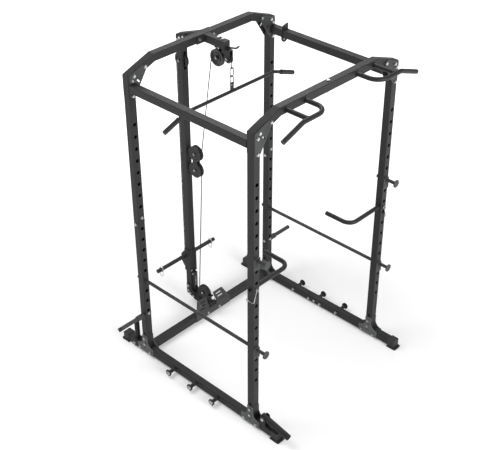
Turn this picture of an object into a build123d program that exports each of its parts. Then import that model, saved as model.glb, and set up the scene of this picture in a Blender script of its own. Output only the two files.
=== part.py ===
from build123d import *
import os
from math import acos, atan2, cos, degrees, radians, sin, tan

os.makedirs("parts", exist_ok=True)

# Cage sizes in millimetres. The front is -Y, the floor is z = 0.
tube = 50
tube_wall = 3
tube_corner = 4
plate_corner = 6
upright_x = 598
upright_y = 492
top_z = 2165
rail_low = 13
rail_overhang = 195
beam_bent_run = 203.5
bend = 20
plate = 4
flange = 5
flange_half_width = 80
flange_lip = 3
seat = 0.2
fit = 0.3
over = 5

# Rows of holes in the uprights, counted from the top
hole_pitch = 82
hole_count = 18
hole_top_z = 1771
hole_room = 1
splice_hole = 8
low_hole_z = 176
low_hole_y_radius = 6
low_hole_x_radius = 9

# Bolts, nuts and their places
bolt_radius = 5
bolt_room = 0.5
bolt_past_tube = 22
short_bolt_length = 46
bolt_flange_radius = 10
bolt_flange_height = 1.6
hex_apothem = 8
hex_height = 6
nut_height = 8
foot_bolt_rise = (21, 69)
rail_bolt_y = 50
rail_bolt_drop = 2
corner_bolt_depth = (112, 206)
beam_bolt_inset = (128, 41)
flange_bolt_x = 56
splice_x_bolt_drop = 50
horn_bolt_rise = 20
rail_spare_y = 52
rail_spare_drop = 4

# Base joint plates, as distance from the upright's axis and height above the rail's top
joint_half_foot = 77
joint_inset = 1
joint_low_gap = 2
joint_foot_rise = 3
joint_neck = (40, 17)
joint_neck_rise = 53
joint_top_rise = 95
joint_slot = (5, -13)
joint_slot_size = (34, 8)

# Top corner plates, as distance in from the outer face and depth under the beams' top
corner_outline = [(4, 210), (4, 78), (116, 37), (139, 69), (46, 212)]
corner_slot = (74, 125)
corner_slot_size = (30, 9)
corner_slot_angle = 45
side_beam_drop = 129

# Rubber feet
foot_wall = 3.2
foot_depth = 45
foot_front = 6
sole_height = 10
sole_spread = 8
sole_back = 48
sole_front = 23

# Pegs on the rails and horns on the rear uprights
peg_y = (-202, 0, 202)
peg_radius = 12.5
peg_length = 52
peg_cap_radius = 23
peg_cap = 9
horn_z = 332
horn_radius = 14
horn_collar_radius = 19
horn_collar = 55
horn_length = 210
horn_cap = 10
horn_groove = 1.2
stud_hole_depth = 26

# Bar holder tube on the left rail
holder_behind = 83
holder_bore = 15.5
holder_wall = 2.5
holder_height = 152
holder_half_plate = 25

# Hanger plate round the right side beam, as x from the beam's middle and height above its underside
hanger_y = 362
hanger_outline = [(-30, -8), (-30, 52), (-20, 77), (14, 86), (30, 86), (30, -8)]
hanger_lobe = (-2, -36)
hanger_hole = (-4, -18)
hanger_hole_radius = 5.5

# Pull-up grips and dip bars
bar_radius = 14
bar_wall = 2.5
grip_inner_x = 222
grip_outer_x = 376
grip_bend_x = 419
grip_end_x = 574
grip_reach = 159
grip_corner = 78
grip_droop = 60
dip_hole = 9
dip_rise = 38
dip_stub = 5
dip_reach = 308
dip_length = 192
dip_corner = 60
cap_disc = 4
cap_plug = 20

# Safety bars, J-hooks and lock pins
safety_hole = 14
hook_hole = 6
pin_bar_radius = 11
safety_before = 82
safety_behind = 24
hook_before = 83
hook_behind = 18
disc_radius = 26
disc_thick = 6
tab_half_width = 26
tab_thick = 5
tab_up = 20
tab_down = 68
tab_round = 20
lock_radius = 4
lock_before = 17
lock_behind = 12
lock_head_radius = 7
lock_head = 7
bail_wire = 2.5
bail_eye = 7
bail_before = 5
bail_room = 0.5
bail_drop = 86
bail_corner = 10
bail_wrap = 39
bail_loop = 8

# Lat tower behind the cage, its gussets as distance from the middle of the mast's mitre
tower_gap = 143
slot_room = 3
slot_below = 58
slot_above = 62
gusset_outline = [(21, 71), (21, -14), (-67, -46), (-78, -16), (-22, 39), (-22, 71)]
gusset_mast_rise = (11, 51)
gusset_arm_inset = (17, 49)
arm_length = 179
arm_bolt_inset = (71, 33)
hook_wire = 5.5
hook_run = 82
hook_angle = 12
hook_tip = 30
hook_tip_angle = 42
hook_corner = 40

# Pulleys: groove and rim radius, and where they sit on what carries them
small_groove = 25
small_rim = 30
large_groove = 50
large_rim = 55
arm_front_pulley_place = (-13, 58)
arm_rear_pulley_place = (82, 81)
tower_pulley_place = (5, 245)
float_mast_room = 15
float_z = 1279
float_room = 12
low_pulley_place = (35, 87)
rim_half_width = 9
bracket_hub = 10.5
hub_room = 0.5
hub_radius = 12
pulley_web = 4
cable_radius = 3

# Brackets that carry the pulleys
cheek = 5
arm_bracket_span = (-34, 118)
near_cheek_back = 30
arm_skirt = 30
arm_lobe_radius = 20
arm_lobe_spread = 21
strap_radius = 12
block_cheek = 4
block_radius = 20
low_bracket_span = (7, 73)
low_cover_radius = 52
stop_plate_inset = 39.5
stop_plate_thick = 4
stop_plate_height = 38
stop_hole_radius = 6

# Cables, ball and carabiner
ball_inset = 53
ball_drop = 9
ball_radius = 13
ball_eye = 7
ball_eye_wire = 2
anchor_radius = 5
anchor_height = 12
clip_wire = 3
clip_half_width = 12
clip_height = 50

# Weight carriage, its lug from the sleeve's back and the bar's height, its stop and the spring collars
sleeve_room = 0.5
sleeve_wall = 5
sleeve_low = 284
sleeve_high = 470
weight_bar_z = 388
weight_bar_reach = 264
weight_cap = 12
saddle_half_height = 14
lug_half_width = 6
lug_shape = [(-0.5, -88), (29.5, -98), (59.5, -58), (59.5, -3), (36.5, 27), (-0.5, 27)]
column_half_width = 13
column_depth = 27
column_foot_room = 3.7
column_rib_pitch = 15
column_rib_depth = 2
column_rib = 5
collar_x = 240
collar_wall = 6
collar_width = 9
collar_wire = 2
collar_loop_drop = 46
collar_loop_half = 15

# Footplate
apron_half_width = 168
apron_low_gap = 2
apron_rise = 3
tread_lean = 22
tread_length = 96
tread_inner = 36
tread_top = 122
tread_slot_size = (50, 9)
tread_slot_rise = (24, 48, 72)
tread_slot_x = (97, 87, 78)

# Lat bar and its chain, as depth under the front pulley's axis
lat_depth = 207
lat_flat = 376
lat_reach = 560
lat_corner = 90
lat_grip_start = 443
lat_grip_end = 562
lat_grip_wall = 3
lat_tab_half_width = 14
lat_tab_thick = 5
lat_tab_depth = 149
lat_tab_hole = 6
link_wire = 3
link_half_width = 15
link_low_depth = 161
link_join_depth = 111
link_top_depth = 53
eye_wire = 2.5
eye_radius = 6

# Swivelling pivot sleeve on the front left rail
pivot_before = 79
pivot_rise = 51
pivot_droop = 11.7
pivot_bore = 16
pivot_wall = 4
pivot_back = 24
pivot_front = 200
yoke_room = 1.3
yoke_ear = 4
yoke_ear_radius = 19
yoke_base = 6.5
yoke_half_depth = 25
yoke_lift = 0.4
stud_radius = 7
stud_depth = 30
pivot_bolt_radius = 6
pivot_head_radius = 11
pivot_head = 7

# Frame lines worked out from the sizes above
half = tube / 2
outer_x = upright_x + half
inner_x = upright_x - half
outer_y = upright_y + half
inner_y = upright_y - half
rail_z = rail_low + half
rail_top = rail_low + tube
rail_reach = outer_y + rail_overhang
slope = tan(radians(bend))
half_slope = tan(radians(bend / 2))
mitre = tan(radians((90 - bend) / 2))
slant = tube / cos(radians(bend))
beam_flat = outer_x - beam_bent_run
corner_z = top_z - beam_bent_run * slope
beam_low = top_z - tube
side_beam_low = top_z - side_beam_drop - tube
grip_z = top_z - half
plate_step = seat + plate

# Holes and bolts worked out
hole_radius = pin_bar_radius + hole_room
lock_hole = lock_radius + fit
bolt_hole = bolt_radius + bolt_room
nut_bore = bolt_radius + fit
bolt_length = tube + bolt_past_tube
foot_bolt_z = [rail_top + rise for rise in foot_bolt_rise]
rail_bolt_z = rail_z - rail_bolt_drop
rail_spare_z = rail_z - rail_spare_drop
corner_bolt_z = [top_z - depth for depth in corner_bolt_depth]
beam_bolt_x = [outer_x - inset for inset in beam_bolt_inset]
splice_y_bolt_z = hole_top_z - splice_hole * hole_pitch
splice_x_bolt_z = splice_y_bolt_z - splice_x_bolt_drop
horn_bolt_z = horn_z + horn_bolt_rise

# Bars and pins worked out
dip_z = hole_top_z - dip_hole * hole_pitch + dip_rise
dip_outer_x = outer_x + dip_stub
dip_inner_x = upright_x - dip_reach
dip_end_y = dip_length - upright_y
grip_y = -outer_y - grip_reach
safety_z = hole_top_z - safety_hole * hole_pitch
hook_z = hole_top_z - hook_hole * hole_pitch
lock_front = -outer_y - lock_before
lock_back = lock_behind - inner_y
bail_x = outer_x + bail_wire + bail_room
bail_y = -outer_y - bail_before
bail_z = dip_z - bail_drop
bail_back = bail_wrap - outer_y
holder_y = outer_y + holder_behind
holder_radius = holder_bore + holder_wall
pivot_y = -outer_y - pivot_before
pivot_z = rail_top + pivot_rise
pivot_radius = pivot_bore + pivot_wall
yoke_inner = pivot_radius + yoke_room

# Tower, pulleys and carriage worked out
tower_front = outer_y + tower_gap
tower_y = tower_front + half
tower_back = tower_front + tube
tower_top_z = top_z - (tower_back - outer_y) * slope
tower_low_z = rail_low + (tower_back - outer_y) * slope
gusset_z = tower_low_z + half * mitre
gusset_low = [(tower_y + y, gusset_z + z) for y, z in gusset_outline]
gusset_mast_bolts = [gusset_z + rise for rise in gusset_mast_rise]
gusset_arm_bolts = [tower_y - inset for inset in gusset_arm_inset]
arm_front = inner_y - arm_length
arm_bolt_y = [arm_front + inset for inset in arm_bolt_inset]
arm_front_pulley = (arm_front + arm_front_pulley_place[0], beam_low - arm_front_pulley_place[1])
arm_rear_pulley = (arm_front + arm_rear_pulley_place[0], beam_low - arm_rear_pulley_place[1])
tower_pulley = (tower_y + tower_pulley_place[0], top_z - tower_pulley_place[1])
float_y = tower_front - large_rim - float_mast_room
float_upper_pulley = (float_y, float_z)
float_lower_pulley = (float_y, float_z - 2 * large_rim - float_room)
low_pulley = (outer_y + low_pulley_place[0], rail_top + low_pulley_place[1])
tower_hub = half - tube_wall - hub_room
cheek_inner = bracket_hub + hub_room
slot_half_width = rim_half_width + slot_room
slot_low = tower_pulley[1] - slot_below
slot_high = tower_pulley[1] + slot_above
arm_bracket_y = [arm_front + place for place in arm_bracket_span]
arm_bracket_skirt = beam_low - arm_skirt
low_bracket_y = [outer_y + place for place in low_bracket_span]
stop_plate_y = (outer_y - stop_plate_inset, outer_y - stop_plate_inset + stop_plate_thick)
stop_plate_z = (low_pulley[1] - stop_plate_height, low_pulley[1])
ball_y = outer_y - ball_inset
ball_z = low_pulley[1] - ball_drop
sleeve_bore = half + sleeve_room
sleeve_half = sleeve_bore + sleeve_wall
weight_bar_y = tower_y + sleeve_half + horn_radius
lug_outline = [(tower_y + sleeve_half + y, weight_bar_z + z) for y, z in lug_shape]
lug_cable_y = tower_pulley[0] + large_groove
column_front = tower_front - column_depth
column_low = rail_low + slant + tower_gap * slope + column_foot_room
column_top = sleeve_low - 2 * seat
collar_radius = horn_radius + collar_wall

# Lat bar worked out
lat_y = arm_front_pulley[0] - small_groove
lat_z = arm_front_pulley[1] - lat_depth
lat_grip_radius = pin_bar_radius + fit + lat_grip_wall
lat_tab_top = arm_front_pulley[1] - lat_tab_depth
link_low_z = arm_front_pulley[1] - link_low_depth
link_join_z = arm_front_pulley[1] - link_join_depth
link_top_z = arm_front_pulley[1] - link_top_depth


def block(low, high, mode=Mode.ADD):
    """A box between two opposite corners."""
    size = [b - a for a, b in zip(low, high)]
    middle = [(a + b) / 2 for a, b in zip(low, high)]
    with Locations(tuple(middle)):
        Box(*size, mode=mode)


def rod(start, end, radius, mode=Mode.ADD):
    """A round bar from one point to another."""
    run = Vector(*end) - Vector(*start)
    with Locations(Plane(origin=start, z_dir=run)):
        Cylinder(radius, run.length, align=(Align.CENTER, Align.CENTER, Align.MIN), mode=mode)


def across_x(x):
    """The plane of y and z at a place along X, which grows towards +X."""
    return Plane(origin=(x, 0, 0), x_dir=(0, 1, 0), z_dir=(1, 0, 0))


def across_y(y):
    """The plane of x and z at a place along Y, which grows towards -Y."""
    return Plane(origin=(0, y, 0), x_dir=(1, 0, 0), z_dir=(0, -1, 0))


def sheet_x(points, start, end, mode=Mode.ADD):
    """An outline in y and z, as thick as the stretch from start to end along X."""
    with BuildSketch(across_x(start)) as outline:
        with BuildLine():
            Polyline(*points, close=True)
        make_face()
    extrude(outline.sketch, amount=end - start, mode=mode)


def sheet_y(points, start, end, mode=Mode.ADD):
    """An outline in x and z, as thick as the stretch from start to end along Y."""
    with BuildSketch(across_y(end)) as outline:
        with BuildLine():
            Polyline(*points, close=True)
        make_face()
    extrude(outline.sketch, amount=end - start, mode=mode)


def drill(plane, spots, radius, depth):
    """Round holes square to a plane, at places in it."""
    with BuildSketch(plane) as circles:
        with Locations(*spots):
            Circle(radius)
    extrude(circles.sketch, amount=depth, mode=Mode.SUBTRACT)


def holes_x(spots, radius, start, end):
    """Round holes along X at places given as y and z."""
    drill(across_x(start), spots, radius, end - start)


def holes_y(spots, radius, start, end):
    """Round holes along Y at places given as x and z."""
    drill(across_y(end), spots, radius, end - start)


def holes_z(spots, radius, start, end):
    """Round holes along Z at places given as x and y."""
    drill(Plane.XY.offset(start), spots, radius, end - start)


def bent_bar(points, radius, corners, mode=Mode.ADD):
    """A round bar along a bent route."""
    with BuildLine() as route:
        FilletPolyline(*points, radius=corners)
    with BuildSketch(Plane(origin=route.line @ 0, z_dir=route.line % 0)) as section:
        Circle(radius)
    sweep(section.sketch, path=route.line, mode=mode)


def save(piece, name):
    """Name a finished piece and write it out."""
    piece.part.label = name
    export_step(piece.part, f"parts/{name}.step")


def mirrored(points):
    """The same outline on the other side of the middle."""
    return [(-x, z) for x, z in points]


# Base rails
for side, name in ((-1, "base_rail_left"), (1, "base_rail_right")):
    middle_x = side * upright_x
    with BuildPart() as base_rail:
        block((middle_x - half, -rail_reach, rail_low), (middle_x + half, rail_reach, rail_top))
        fillet(edges().filter_by(Axis.Y), tube_corner)
        block(
            (middle_x - half + tube_wall, -rail_reach - over, rail_low + tube_wall),
            (middle_x + half - tube_wall, rail_reach + over, rail_top - tube_wall),
            Mode.SUBTRACT,
        )
        spots = [(y, rail_z) for y in peg_y]
        spots += [(end * upright_y + step * rail_bolt_y, rail_bolt_z) for end in (-1, 1) for step in (-1, 1)]
        if side < 0:
            spots.append((holder_y, rail_z))
            holes_z([(middle_x, pivot_y)], stud_radius + fit, rail_z, rail_top + over)
        holes_x(spots, bolt_hole, middle_x - half - over, middle_x + half + over)
        inner_wall = sorted((side * (inner_x - over), side * (inner_x + over)))
        holes_x([(end * rail_spare_y, rail_spare_z) for end in (-1, 1)], bolt_hole, *inner_wall)
    save(base_rail, name)

# Rear crossmember
cross_reach = inner_x - 2 * seat - plate
with BuildPart() as crossmember:
    block((-cross_reach, inner_y, rail_low), (cross_reach, outer_y, rail_top))
    fillet(edges().filter_by(Axis.X), tube_corner)
    block(
        (-cross_reach - over, inner_y + tube_wall, rail_low + tube_wall),
        (cross_reach + over, outer_y - tube_wall, rail_top - tube_wall),
        Mode.SUBTRACT,
    )
    holes_y([(-flange_bolt_x, rail_z), (flange_bolt_x, rail_z)], bolt_hole, inner_y - over, outer_y + over)
save(crossmember, "base_crossmember")

# Uprights, mitred at the top to meet the beams
upright_low = rail_top + seat
mitre_z = corner_z - fit
for end, end_name in ((-1, "front"), (1, "rear")):
    for side, side_name in ((-1, "left"), (1, "right")):
        middle = end * upright_y
        skin = [
            (side * outer_x, upright_low),
            (side * outer_x, mitre_z),
            (side * inner_x, mitre_z - tube * mitre),
            (side * inner_x, upright_low),
        ]
        core = [
            (side * (outer_x - tube_wall), upright_low - over),
            (side * (outer_x - tube_wall), mitre_z - tube_wall * mitre + over),
            (side * (inner_x + tube_wall), mitre_z - (tube - tube_wall) * mitre + over),
            (side * (inner_x + tube_wall), upright_low - over),
        ]
        rows = [hole_top_z - hole_pitch * i for i in range(hole_count)]
        x_bolts = list(foot_bolt_z)
        y_bolts = list(corner_bolt_z)
        if end > 0:
            rows.remove(splice_y_bolt_z)
            x_bolts += [splice_x_bolt_z, horn_z]
            y_bolts += [splice_y_bolt_z, horn_bolt_z]
        near_y, far_y = middle - half - over, middle + half + over
        near_x, far_x = side * upright_x - half - over, side * upright_x + half + over
        with BuildPart() as upright:
            sheet_y(skin, middle - half, middle + half)
            fillet(edges().filter_by(Axis.Z), tube_corner)
            sheet_y(core, middle - half + tube_wall, middle + half - tube_wall, Mode.SUBTRACT)
            holes_y([(side * upright_x, z) for z in rows], hole_radius, near_y, far_y)
            holes_y([(side * upright_x, low_hole_z)], low_hole_y_radius, near_y, far_y)
            holes_x([(middle, low_hole_z)], low_hole_x_radius, near_x, far_x)
            holes_x([(middle, z) for z in x_bolts], bolt_hole, near_x, far_x)
            holes_y([(side * upright_x, z) for z in y_bolts], bolt_hole, near_y, far_y)
            if end < 0:
                holes_x([(middle, dip_z)], bar_radius + fit, near_x, far_x)
                holes_y([(side * upright_x, dip_z)], lock_hole, near_y, far_y)
        save(upright, f"upright_{end_name}_{side_name}")


def beam_line(depth, extend=0):
    """Half of a line along a top beam, this deep under its top face, from the mitre inwards."""
    mitre_x = outer_x - depth
    mitre_point = (mitre_x + extend, corner_z - depth * mitre - extend * slope)
    return [mitre_point, (beam_flat - depth * half_slope, top_z - depth)]


def beam_outline(upper, lower, extend=0):
    """A closed outline of a top beam between two depths."""
    top_half = beam_line(upper, extend)
    low_half = beam_line(lower, extend)
    return top_half + mirrored(top_half[::-1]) + mirrored(low_half) + low_half[::-1]


beam_bolts = [
    (x, top_z - half - (x - beam_flat + half * half_slope) * slope) for x in beam_bolt_x
]


def runs_along_beam(edge):
    """True for a beam's long edges, which are less steep than its mitres."""
    way = edge.tangent_at(0)
    return abs(way.Z) < (slope + mitre) / 2 * abs(way.X)


# Top beams, bent down towards their ends
for end, name in ((-1, "top_beam_front"), (1, "top_beam_rear")):
    middle = end * upright_y
    with BuildPart() as top_beam:
        sheet_y(beam_outline(0, tube), middle - half, middle + half)
        fillet(edges().filter_by(runs_along_beam), tube_corner)
        core = beam_outline(tube_wall, tube - tube_wall, over)
        sheet_y(core, middle - half + tube_wall, middle + half - tube_wall, Mode.SUBTRACT)
        holes_y(beam_bolts + mirrored(beam_bolts), bolt_hole, middle - half - over, middle + half + over)
        if end < 0:
            holes_z([(0, middle)], bolt_hole, beam_low - over, top_z + over)
        else:
            spots = [(-flange_bolt_x, grip_z), (flange_bolt_x, grip_z)]
            holes_y(spots, bolt_hole, middle - half - over, middle + half + over)
    save(top_beam, name)

# Top side beams between the corner plates
side_beam_reach = inner_y - 2 * seat - plate
with BuildPart() as side_beams:
    block((inner_x, -side_beam_reach, side_beam_low), (outer_x, side_beam_reach, side_beam_low + tube))
    fillet(edges().filter_by(Axis.Y), tube_corner)
    block(
        (inner_x + tube_wall, -side_beam_reach - over, side_beam_low + tube_wall),
        (outer_x - tube_wall, side_beam_reach + over, side_beam_low + tube - tube_wall),
        Mode.SUBTRACT,
    )
    mirror(about=Plane.YZ)
save(side_beams, "top_side_beams")

# Base joint plates on both faces of each upright's foot
joint_half_top = half - joint_inset
joint_low_z = rail_low + joint_low_gap
joint_foot_z = rail_top + joint_foot_rise
joint_curve_z = rail_top + joint_neck[1]
joint_neck_z = rail_top + joint_neck_rise
joint_top_z = rail_top + joint_top_rise
with BuildPart() as joint_plates:
    for end in (-1, 1):
        for face in (outer_x + seat, inner_x - plate_step):
            level = Plane(origin=(face, end * upright_y, 0), x_dir=(0, 1, 0), z_dir=(1, 0, 0))
            with BuildSketch(level):
                with BuildLine():
                    shoulder = Polyline(
                        (joint_half_top, joint_neck_z),
                        (joint_half_top, joint_top_z),
                        (-joint_half_top, joint_top_z),
                        (-joint_half_top, joint_neck_z),
                    )
                    foot_corner = (-joint_half_foot, joint_foot_z)
                    ThreePointArc(shoulder @ 1, (-joint_neck[0], joint_curve_z), foot_corner)
                    foot = Polyline(
                        foot_corner,
                        (-joint_half_foot, joint_low_z),
                        (joint_half_foot, joint_low_z),
                        (joint_half_foot, joint_foot_z),
                    )
                    ThreePointArc(foot @ 1, (joint_neck[0], joint_curve_z), shoulder @ 0)
                make_face()
                with Locations(*[(0, z) for z in foot_bolt_z]):
                    Circle(bolt_hole, mode=Mode.SUBTRACT)
                with Locations((-rail_bolt_y, rail_bolt_z), (rail_bolt_y, rail_bolt_z)):
                    Circle(bolt_hole, mode=Mode.SUBTRACT)
                with Locations((joint_slot[0], rail_top + joint_slot[1])):
                    SlotOverall(*joint_slot_size, mode=Mode.SUBTRACT)
            extrude(amount=plate)
    mirror(about=Plane.YZ)
save(joint_plates, "base_joint_plates")

# Top corner plates on both faces of each upright's head
with BuildPart() as corner_plates:
    for face in (outer_y + plate_step, inner_y - seat, -inner_y + plate_step, -outer_y - seat):
        with BuildSketch(across_y(face)):
            with BuildLine():
                Polyline(*[(outer_x - inset, top_z - depth) for inset, depth in corner_outline], close=True)
            make_face()
            fillet(vertices(), plate_corner)
            with Locations(*beam_bolts, *[(upright_x, z) for z in corner_bolt_z]):
                Circle(bolt_hole, mode=Mode.SUBTRACT)
            with Locations((outer_x - corner_slot[0], top_z - corner_slot[1])):
                SlotOverall(*corner_slot_size, rotation=corner_slot_angle, mode=Mode.SUBTRACT)
        extrude(amount=plate)
    mirror(about=Plane.YZ)
save(corner_plates, "top_corner_plates")

# Rubber foot caps on the rail ends
with BuildPart() as foot_caps:
    block(
        (inner_x - foot_wall - seat, rail_reach - foot_depth, 0),
        (outer_x + foot_wall + seat, rail_reach + foot_front, rail_top + foot_wall + seat),
    )
    block(
        (inner_x - sole_spread, rail_reach - sole_back, 0),
        (outer_x + sole_spread, rail_reach + sole_front, sole_height),
    )
    sole_edges = edges().filter_by(Axis.Z).group_by(Axis.Y)[-1]
    fillet(sole_edges, peg_cap)
    block(
        (inner_x - seat, rail_reach - sole_back - over, rail_low - seat),
        (outer_x + seat, rail_reach + seat, rail_top + seat),
        Mode.SUBTRACT,
    )
    mirror(about=Plane.XZ)
    mirror(about=Plane.YZ)
save(foot_caps, "foot_caps")

# Band pegs along the rails
peg_root = outer_x + seat
peg_end = peg_root + peg_length + peg_cap
with BuildPart() as band_pegs:
    for y in peg_y:
        rod((peg_root, y, rail_z), (peg_end, y, rail_z), peg_radius)
        rod((peg_end - peg_cap, y, rail_z), (peg_end, y, rail_z), peg_cap_radius)
        rod((peg_root - over, y, rail_z), (peg_root + stud_hole_depth, y, rail_z), nut_bore, Mode.SUBTRACT)
    mirror(about=Plane.YZ)
save(band_pegs, "band_pegs")

# Plate horns with a groove behind their ends, on the rear uprights
horn_end = peg_root + horn_length
with BuildPart() as plate_horns:
    profile = [(peg_root, 0), (peg_root, horn_collar_radius)]
    profile += [(peg_root + horn_collar, horn_collar_radius), (peg_root + horn_collar, horn_radius)]
    cap_start = horn_end - horn_cap
    profile += [(cap_start - horn_groove, horn_radius), (cap_start - horn_groove, horn_radius - horn_groove)]
    profile += [(cap_start, horn_radius - horn_groove), (cap_start, horn_radius)]
    profile += [(horn_end, horn_radius), (horn_end, 0)]
    horn_level = Plane(origin=(0, upright_y, horn_z), x_dir=(1, 0, 0), z_dir=(0, 0, 1))
    with BuildSketch(horn_level):
        with BuildLine():
            Polyline(*profile, close=True)
        make_face()
    revolve(axis=Axis((0, upright_y, horn_z), (1, 0, 0)))
    stud_end = (peg_root + stud_hole_depth, upright_y, horn_z)
    rod((peg_root - over, upright_y, horn_z), stud_end, nut_bore, Mode.SUBTRACT)
    mirror(about=Plane.YZ)
save(plate_horns, "plate_horns")

# Bar holder tube on its bracket
holder_low = rail_top + seat
holder_top = rail_top + holder_height
holder_face = -outer_x - seat
with BuildPart() as bar_holder:
    block(
        (holder_face - flange, holder_y - holder_half_plate, holder_low),
        (-inner_x, holder_y + holder_half_plate, holder_low + flange),
    )
    block(
        (holder_face - flange, holder_y - holder_half_plate, rail_low),
        (holder_face, holder_y + holder_half_plate, holder_low + flange),
    )
    rod((-upright_x, holder_y, holder_low), (-upright_x, holder_y, holder_top), holder_radius)
    bore_start = (-upright_x, holder_y, holder_low + flange)
    rod(bore_start, (-upright_x, holder_y, holder_top + over), holder_bore, Mode.SUBTRACT)
    holes_x([(holder_y, rail_z)], bolt_hole, holder_face - flange - over, holder_face + over)
save(bar_holder, "bar_holder_tube")

# Hanger plate that the right side beam passes through
with BuildPart() as hanger_plate:
    with BuildSketch(Plane(origin=(upright_x, hanger_y, side_beam_low), x_dir=(1, 0, 0), z_dir=(0, -1, 0))):
        with BuildLine():
            edge = Polyline(*hanger_outline)
            ThreePointArc(edge @ 1, hanger_lobe, edge @ 0)
        make_face()
        with Locations((0, half)):
            Rectangle(tube + 2 * seat, tube + 2 * seat, mode=Mode.SUBTRACT)
        with Locations(hanger_hole):
            Circle(hanger_hole_radius, mode=Mode.SUBTRACT)
    extrude(amount=flange)
save(hanger_plate, "hanger_plate")

# Pull-up grips, each one bent tube with a second leg
grip_root = -outer_y - seat
grip_end_z = grip_z - (grip_end_x - grip_bend_x) * slope
grip_route = [
    (grip_inner_x, grip_root, grip_z),
    (grip_inner_x, grip_y, grip_z),
    (grip_bend_x, grip_y, grip_z),
    (grip_end_x, grip_y, grip_end_z),
]
bar_bore = bar_radius - bar_wall
with BuildPart() as grips:
    bent_bar(grip_route, bar_radius, [grip_corner, grip_droop])
    rod((grip_outer_x, grip_root, grip_z), (grip_outer_x, grip_y, grip_z), bar_radius)
    bent_bar(grip_route, bar_bore, [grip_corner, grip_droop], Mode.SUBTRACT)
    rod((grip_outer_x, grip_root, grip_z), (grip_outer_x, grip_y, grip_z), bar_bore, Mode.SUBTRACT)
    mirror(about=Plane.YZ)
save(grips, "pull_up_grips")

# Dip bars through the front uprights
dip_route = [
    (dip_outer_x, -upright_y, dip_z),
    (dip_inner_x, -upright_y, dip_z),
    (dip_inner_x, dip_end_y, dip_z),
]
with BuildPart() as dip_bars:
    bent_bar(dip_route, bar_radius, [dip_corner])
    bent_bar(dip_route, bar_bore, [dip_corner], Mode.SUBTRACT)
    holes_y([(upright_x, dip_z)], lock_hole, -outer_y, -inner_y)
    mirror(about=Plane.YZ)
save(dip_bars, "dip_bars")

# Plastic end caps of the grips and dip bars
grip_way = Vector(cos(radians(bend)), 0, -sin(radians(bend)))
cap_ends = [
    Plane(origin=(grip_end_x, grip_y, grip_end_z), z_dir=grip_way),
    Plane(origin=(dip_inner_x, dip_end_y, dip_z), z_dir=(0, 1, 0)),
]
with BuildPart() as end_caps:
    for cap_end in cap_ends:
        with BuildSketch(cap_end.offset(seat)):
            Circle(bar_radius)
        extrude(amount=cap_disc)
        with BuildSketch(cap_end.offset(seat)):
            Circle(bar_bore - fit)
        extrude(amount=-cap_plug)
    mirror(about=Plane.YZ)
save(end_caps, "bar_end_caps")

# Lock pins and their wire bails
for side, name in ((-1, "left"), (1, "right")):
    pin_x = side * upright_x
    with BuildPart() as lock_pin:
        rod((pin_x, lock_front, dip_z), (pin_x, lock_back, dip_z), lock_radius)
        rod((pin_x, lock_front, dip_z), (pin_x, lock_front + lock_head, dip_z), lock_head_radius)
    save(lock_pin, f"lock_pin_{name}")

    leg = Vector(side * (bail_x - upright_x), 0, bail_z - dip_z)
    leg_start = Vector(pin_x, bail_y, dip_z) + leg.normalized() * bail_eye
    bail_route = [
        leg_start,
        (side * bail_x, bail_y, bail_z),
        (side * bail_x, bail_back, bail_z),
    ]
    with BuildPart() as pin_bail:
        with Locations(Plane(origin=(pin_x, bail_y, dip_z), z_dir=(0, 1, 0))):
            Torus(bail_eye, bail_wire)
        bent_bar(bail_route, bail_wire, [bail_corner])
        loop_middle = (side * bail_x, bail_back + bail_loop, bail_z)
        with Locations(Plane(origin=loop_middle, z_dir=(1, 0, 0))):
            Torus(bail_loop, bail_wire)
    save(pin_bail, f"pin_bail_{name}")

# Safety bars and J-hooks, pushed in from the front
tab_back = -outer_y - fit
for side, name in ((-1, "left"), (1, "right")):
    for kind, front, back, level in (
        ("safety_bar", -outer_y - safety_before, outer_y + safety_behind, safety_z),
        ("j_hook", -outer_y - hook_before, hook_behind - inner_y, hook_z),
    ):
        bar_x = side * upright_x
        with BuildPart() as pushed_bar:
            block(
                (bar_x - tab_half_width, tab_back - tab_thick, level - tab_down),
                (bar_x + tab_half_width, tab_back, level + tab_up),
            )
            fillet(edges().filter_by(Axis.Y).group_by(Axis.Z)[-1], tab_round)
            fillet(edges().filter_by(Axis.Y).group_by(Axis.Z)[0], plate_corner)
            rod((bar_x, front, level), (bar_x, back, level), pin_bar_radius)
            rod((bar_x, front, level), (bar_x, front + disc_thick, level), disc_radius)
        save(pushed_bar, f"{kind}_{name}")

# Tower mast with the slot for its top pulley
with BuildPart() as mast:
    skin = [
        (tower_back, tower_low_z + fit),
        (tower_back, tower_top_z - fit),
        (tower_front, tower_top_z - tube * mitre - fit),
        (tower_front, tower_low_z + tube * mitre + fit),
    ]
    sheet_x(skin, -half, half)
    fillet(edges().filter_by(Axis.Z), tube_corner)
    core_back = tower_back - tube_wall
    core_front = tower_front + tube_wall
    core = [
        (core_back, tower_low_z + tube_wall * mitre - over),
        (core_back, tower_top_z - tube_wall * mitre + over),
        (core_front, tower_top_z - (tube - tube_wall) * mitre + over),
        (core_front, tower_low_z + (tube - tube_wall) * mitre - over),
    ]
    sheet_x(core, -half + tube_wall, half - tube_wall, Mode.SUBTRACT)
    block(
        (-slot_half_width, tower_front - over, slot_low),
        (slot_half_width, tower_back + over, slot_high),
        Mode.SUBTRACT,
    )
    holes_x([tower_pulley], nut_bore, -half - over, half + over)
    low_spots = [(tower_y, z) for z in gusset_mast_bolts]
    high_spots = [(tower_y, top_z + rail_low - z) for z in gusset_mast_bolts]
    holes_x(low_spots + high_spots, bolt_hole, -half - over, half + over)
save(mast, "lat_tower_tube")


def arm_axis(y):
    """Height of the foot arm's axis above the floor."""
    return rail_low + (y - outer_y) * slope + slant / 2


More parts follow.
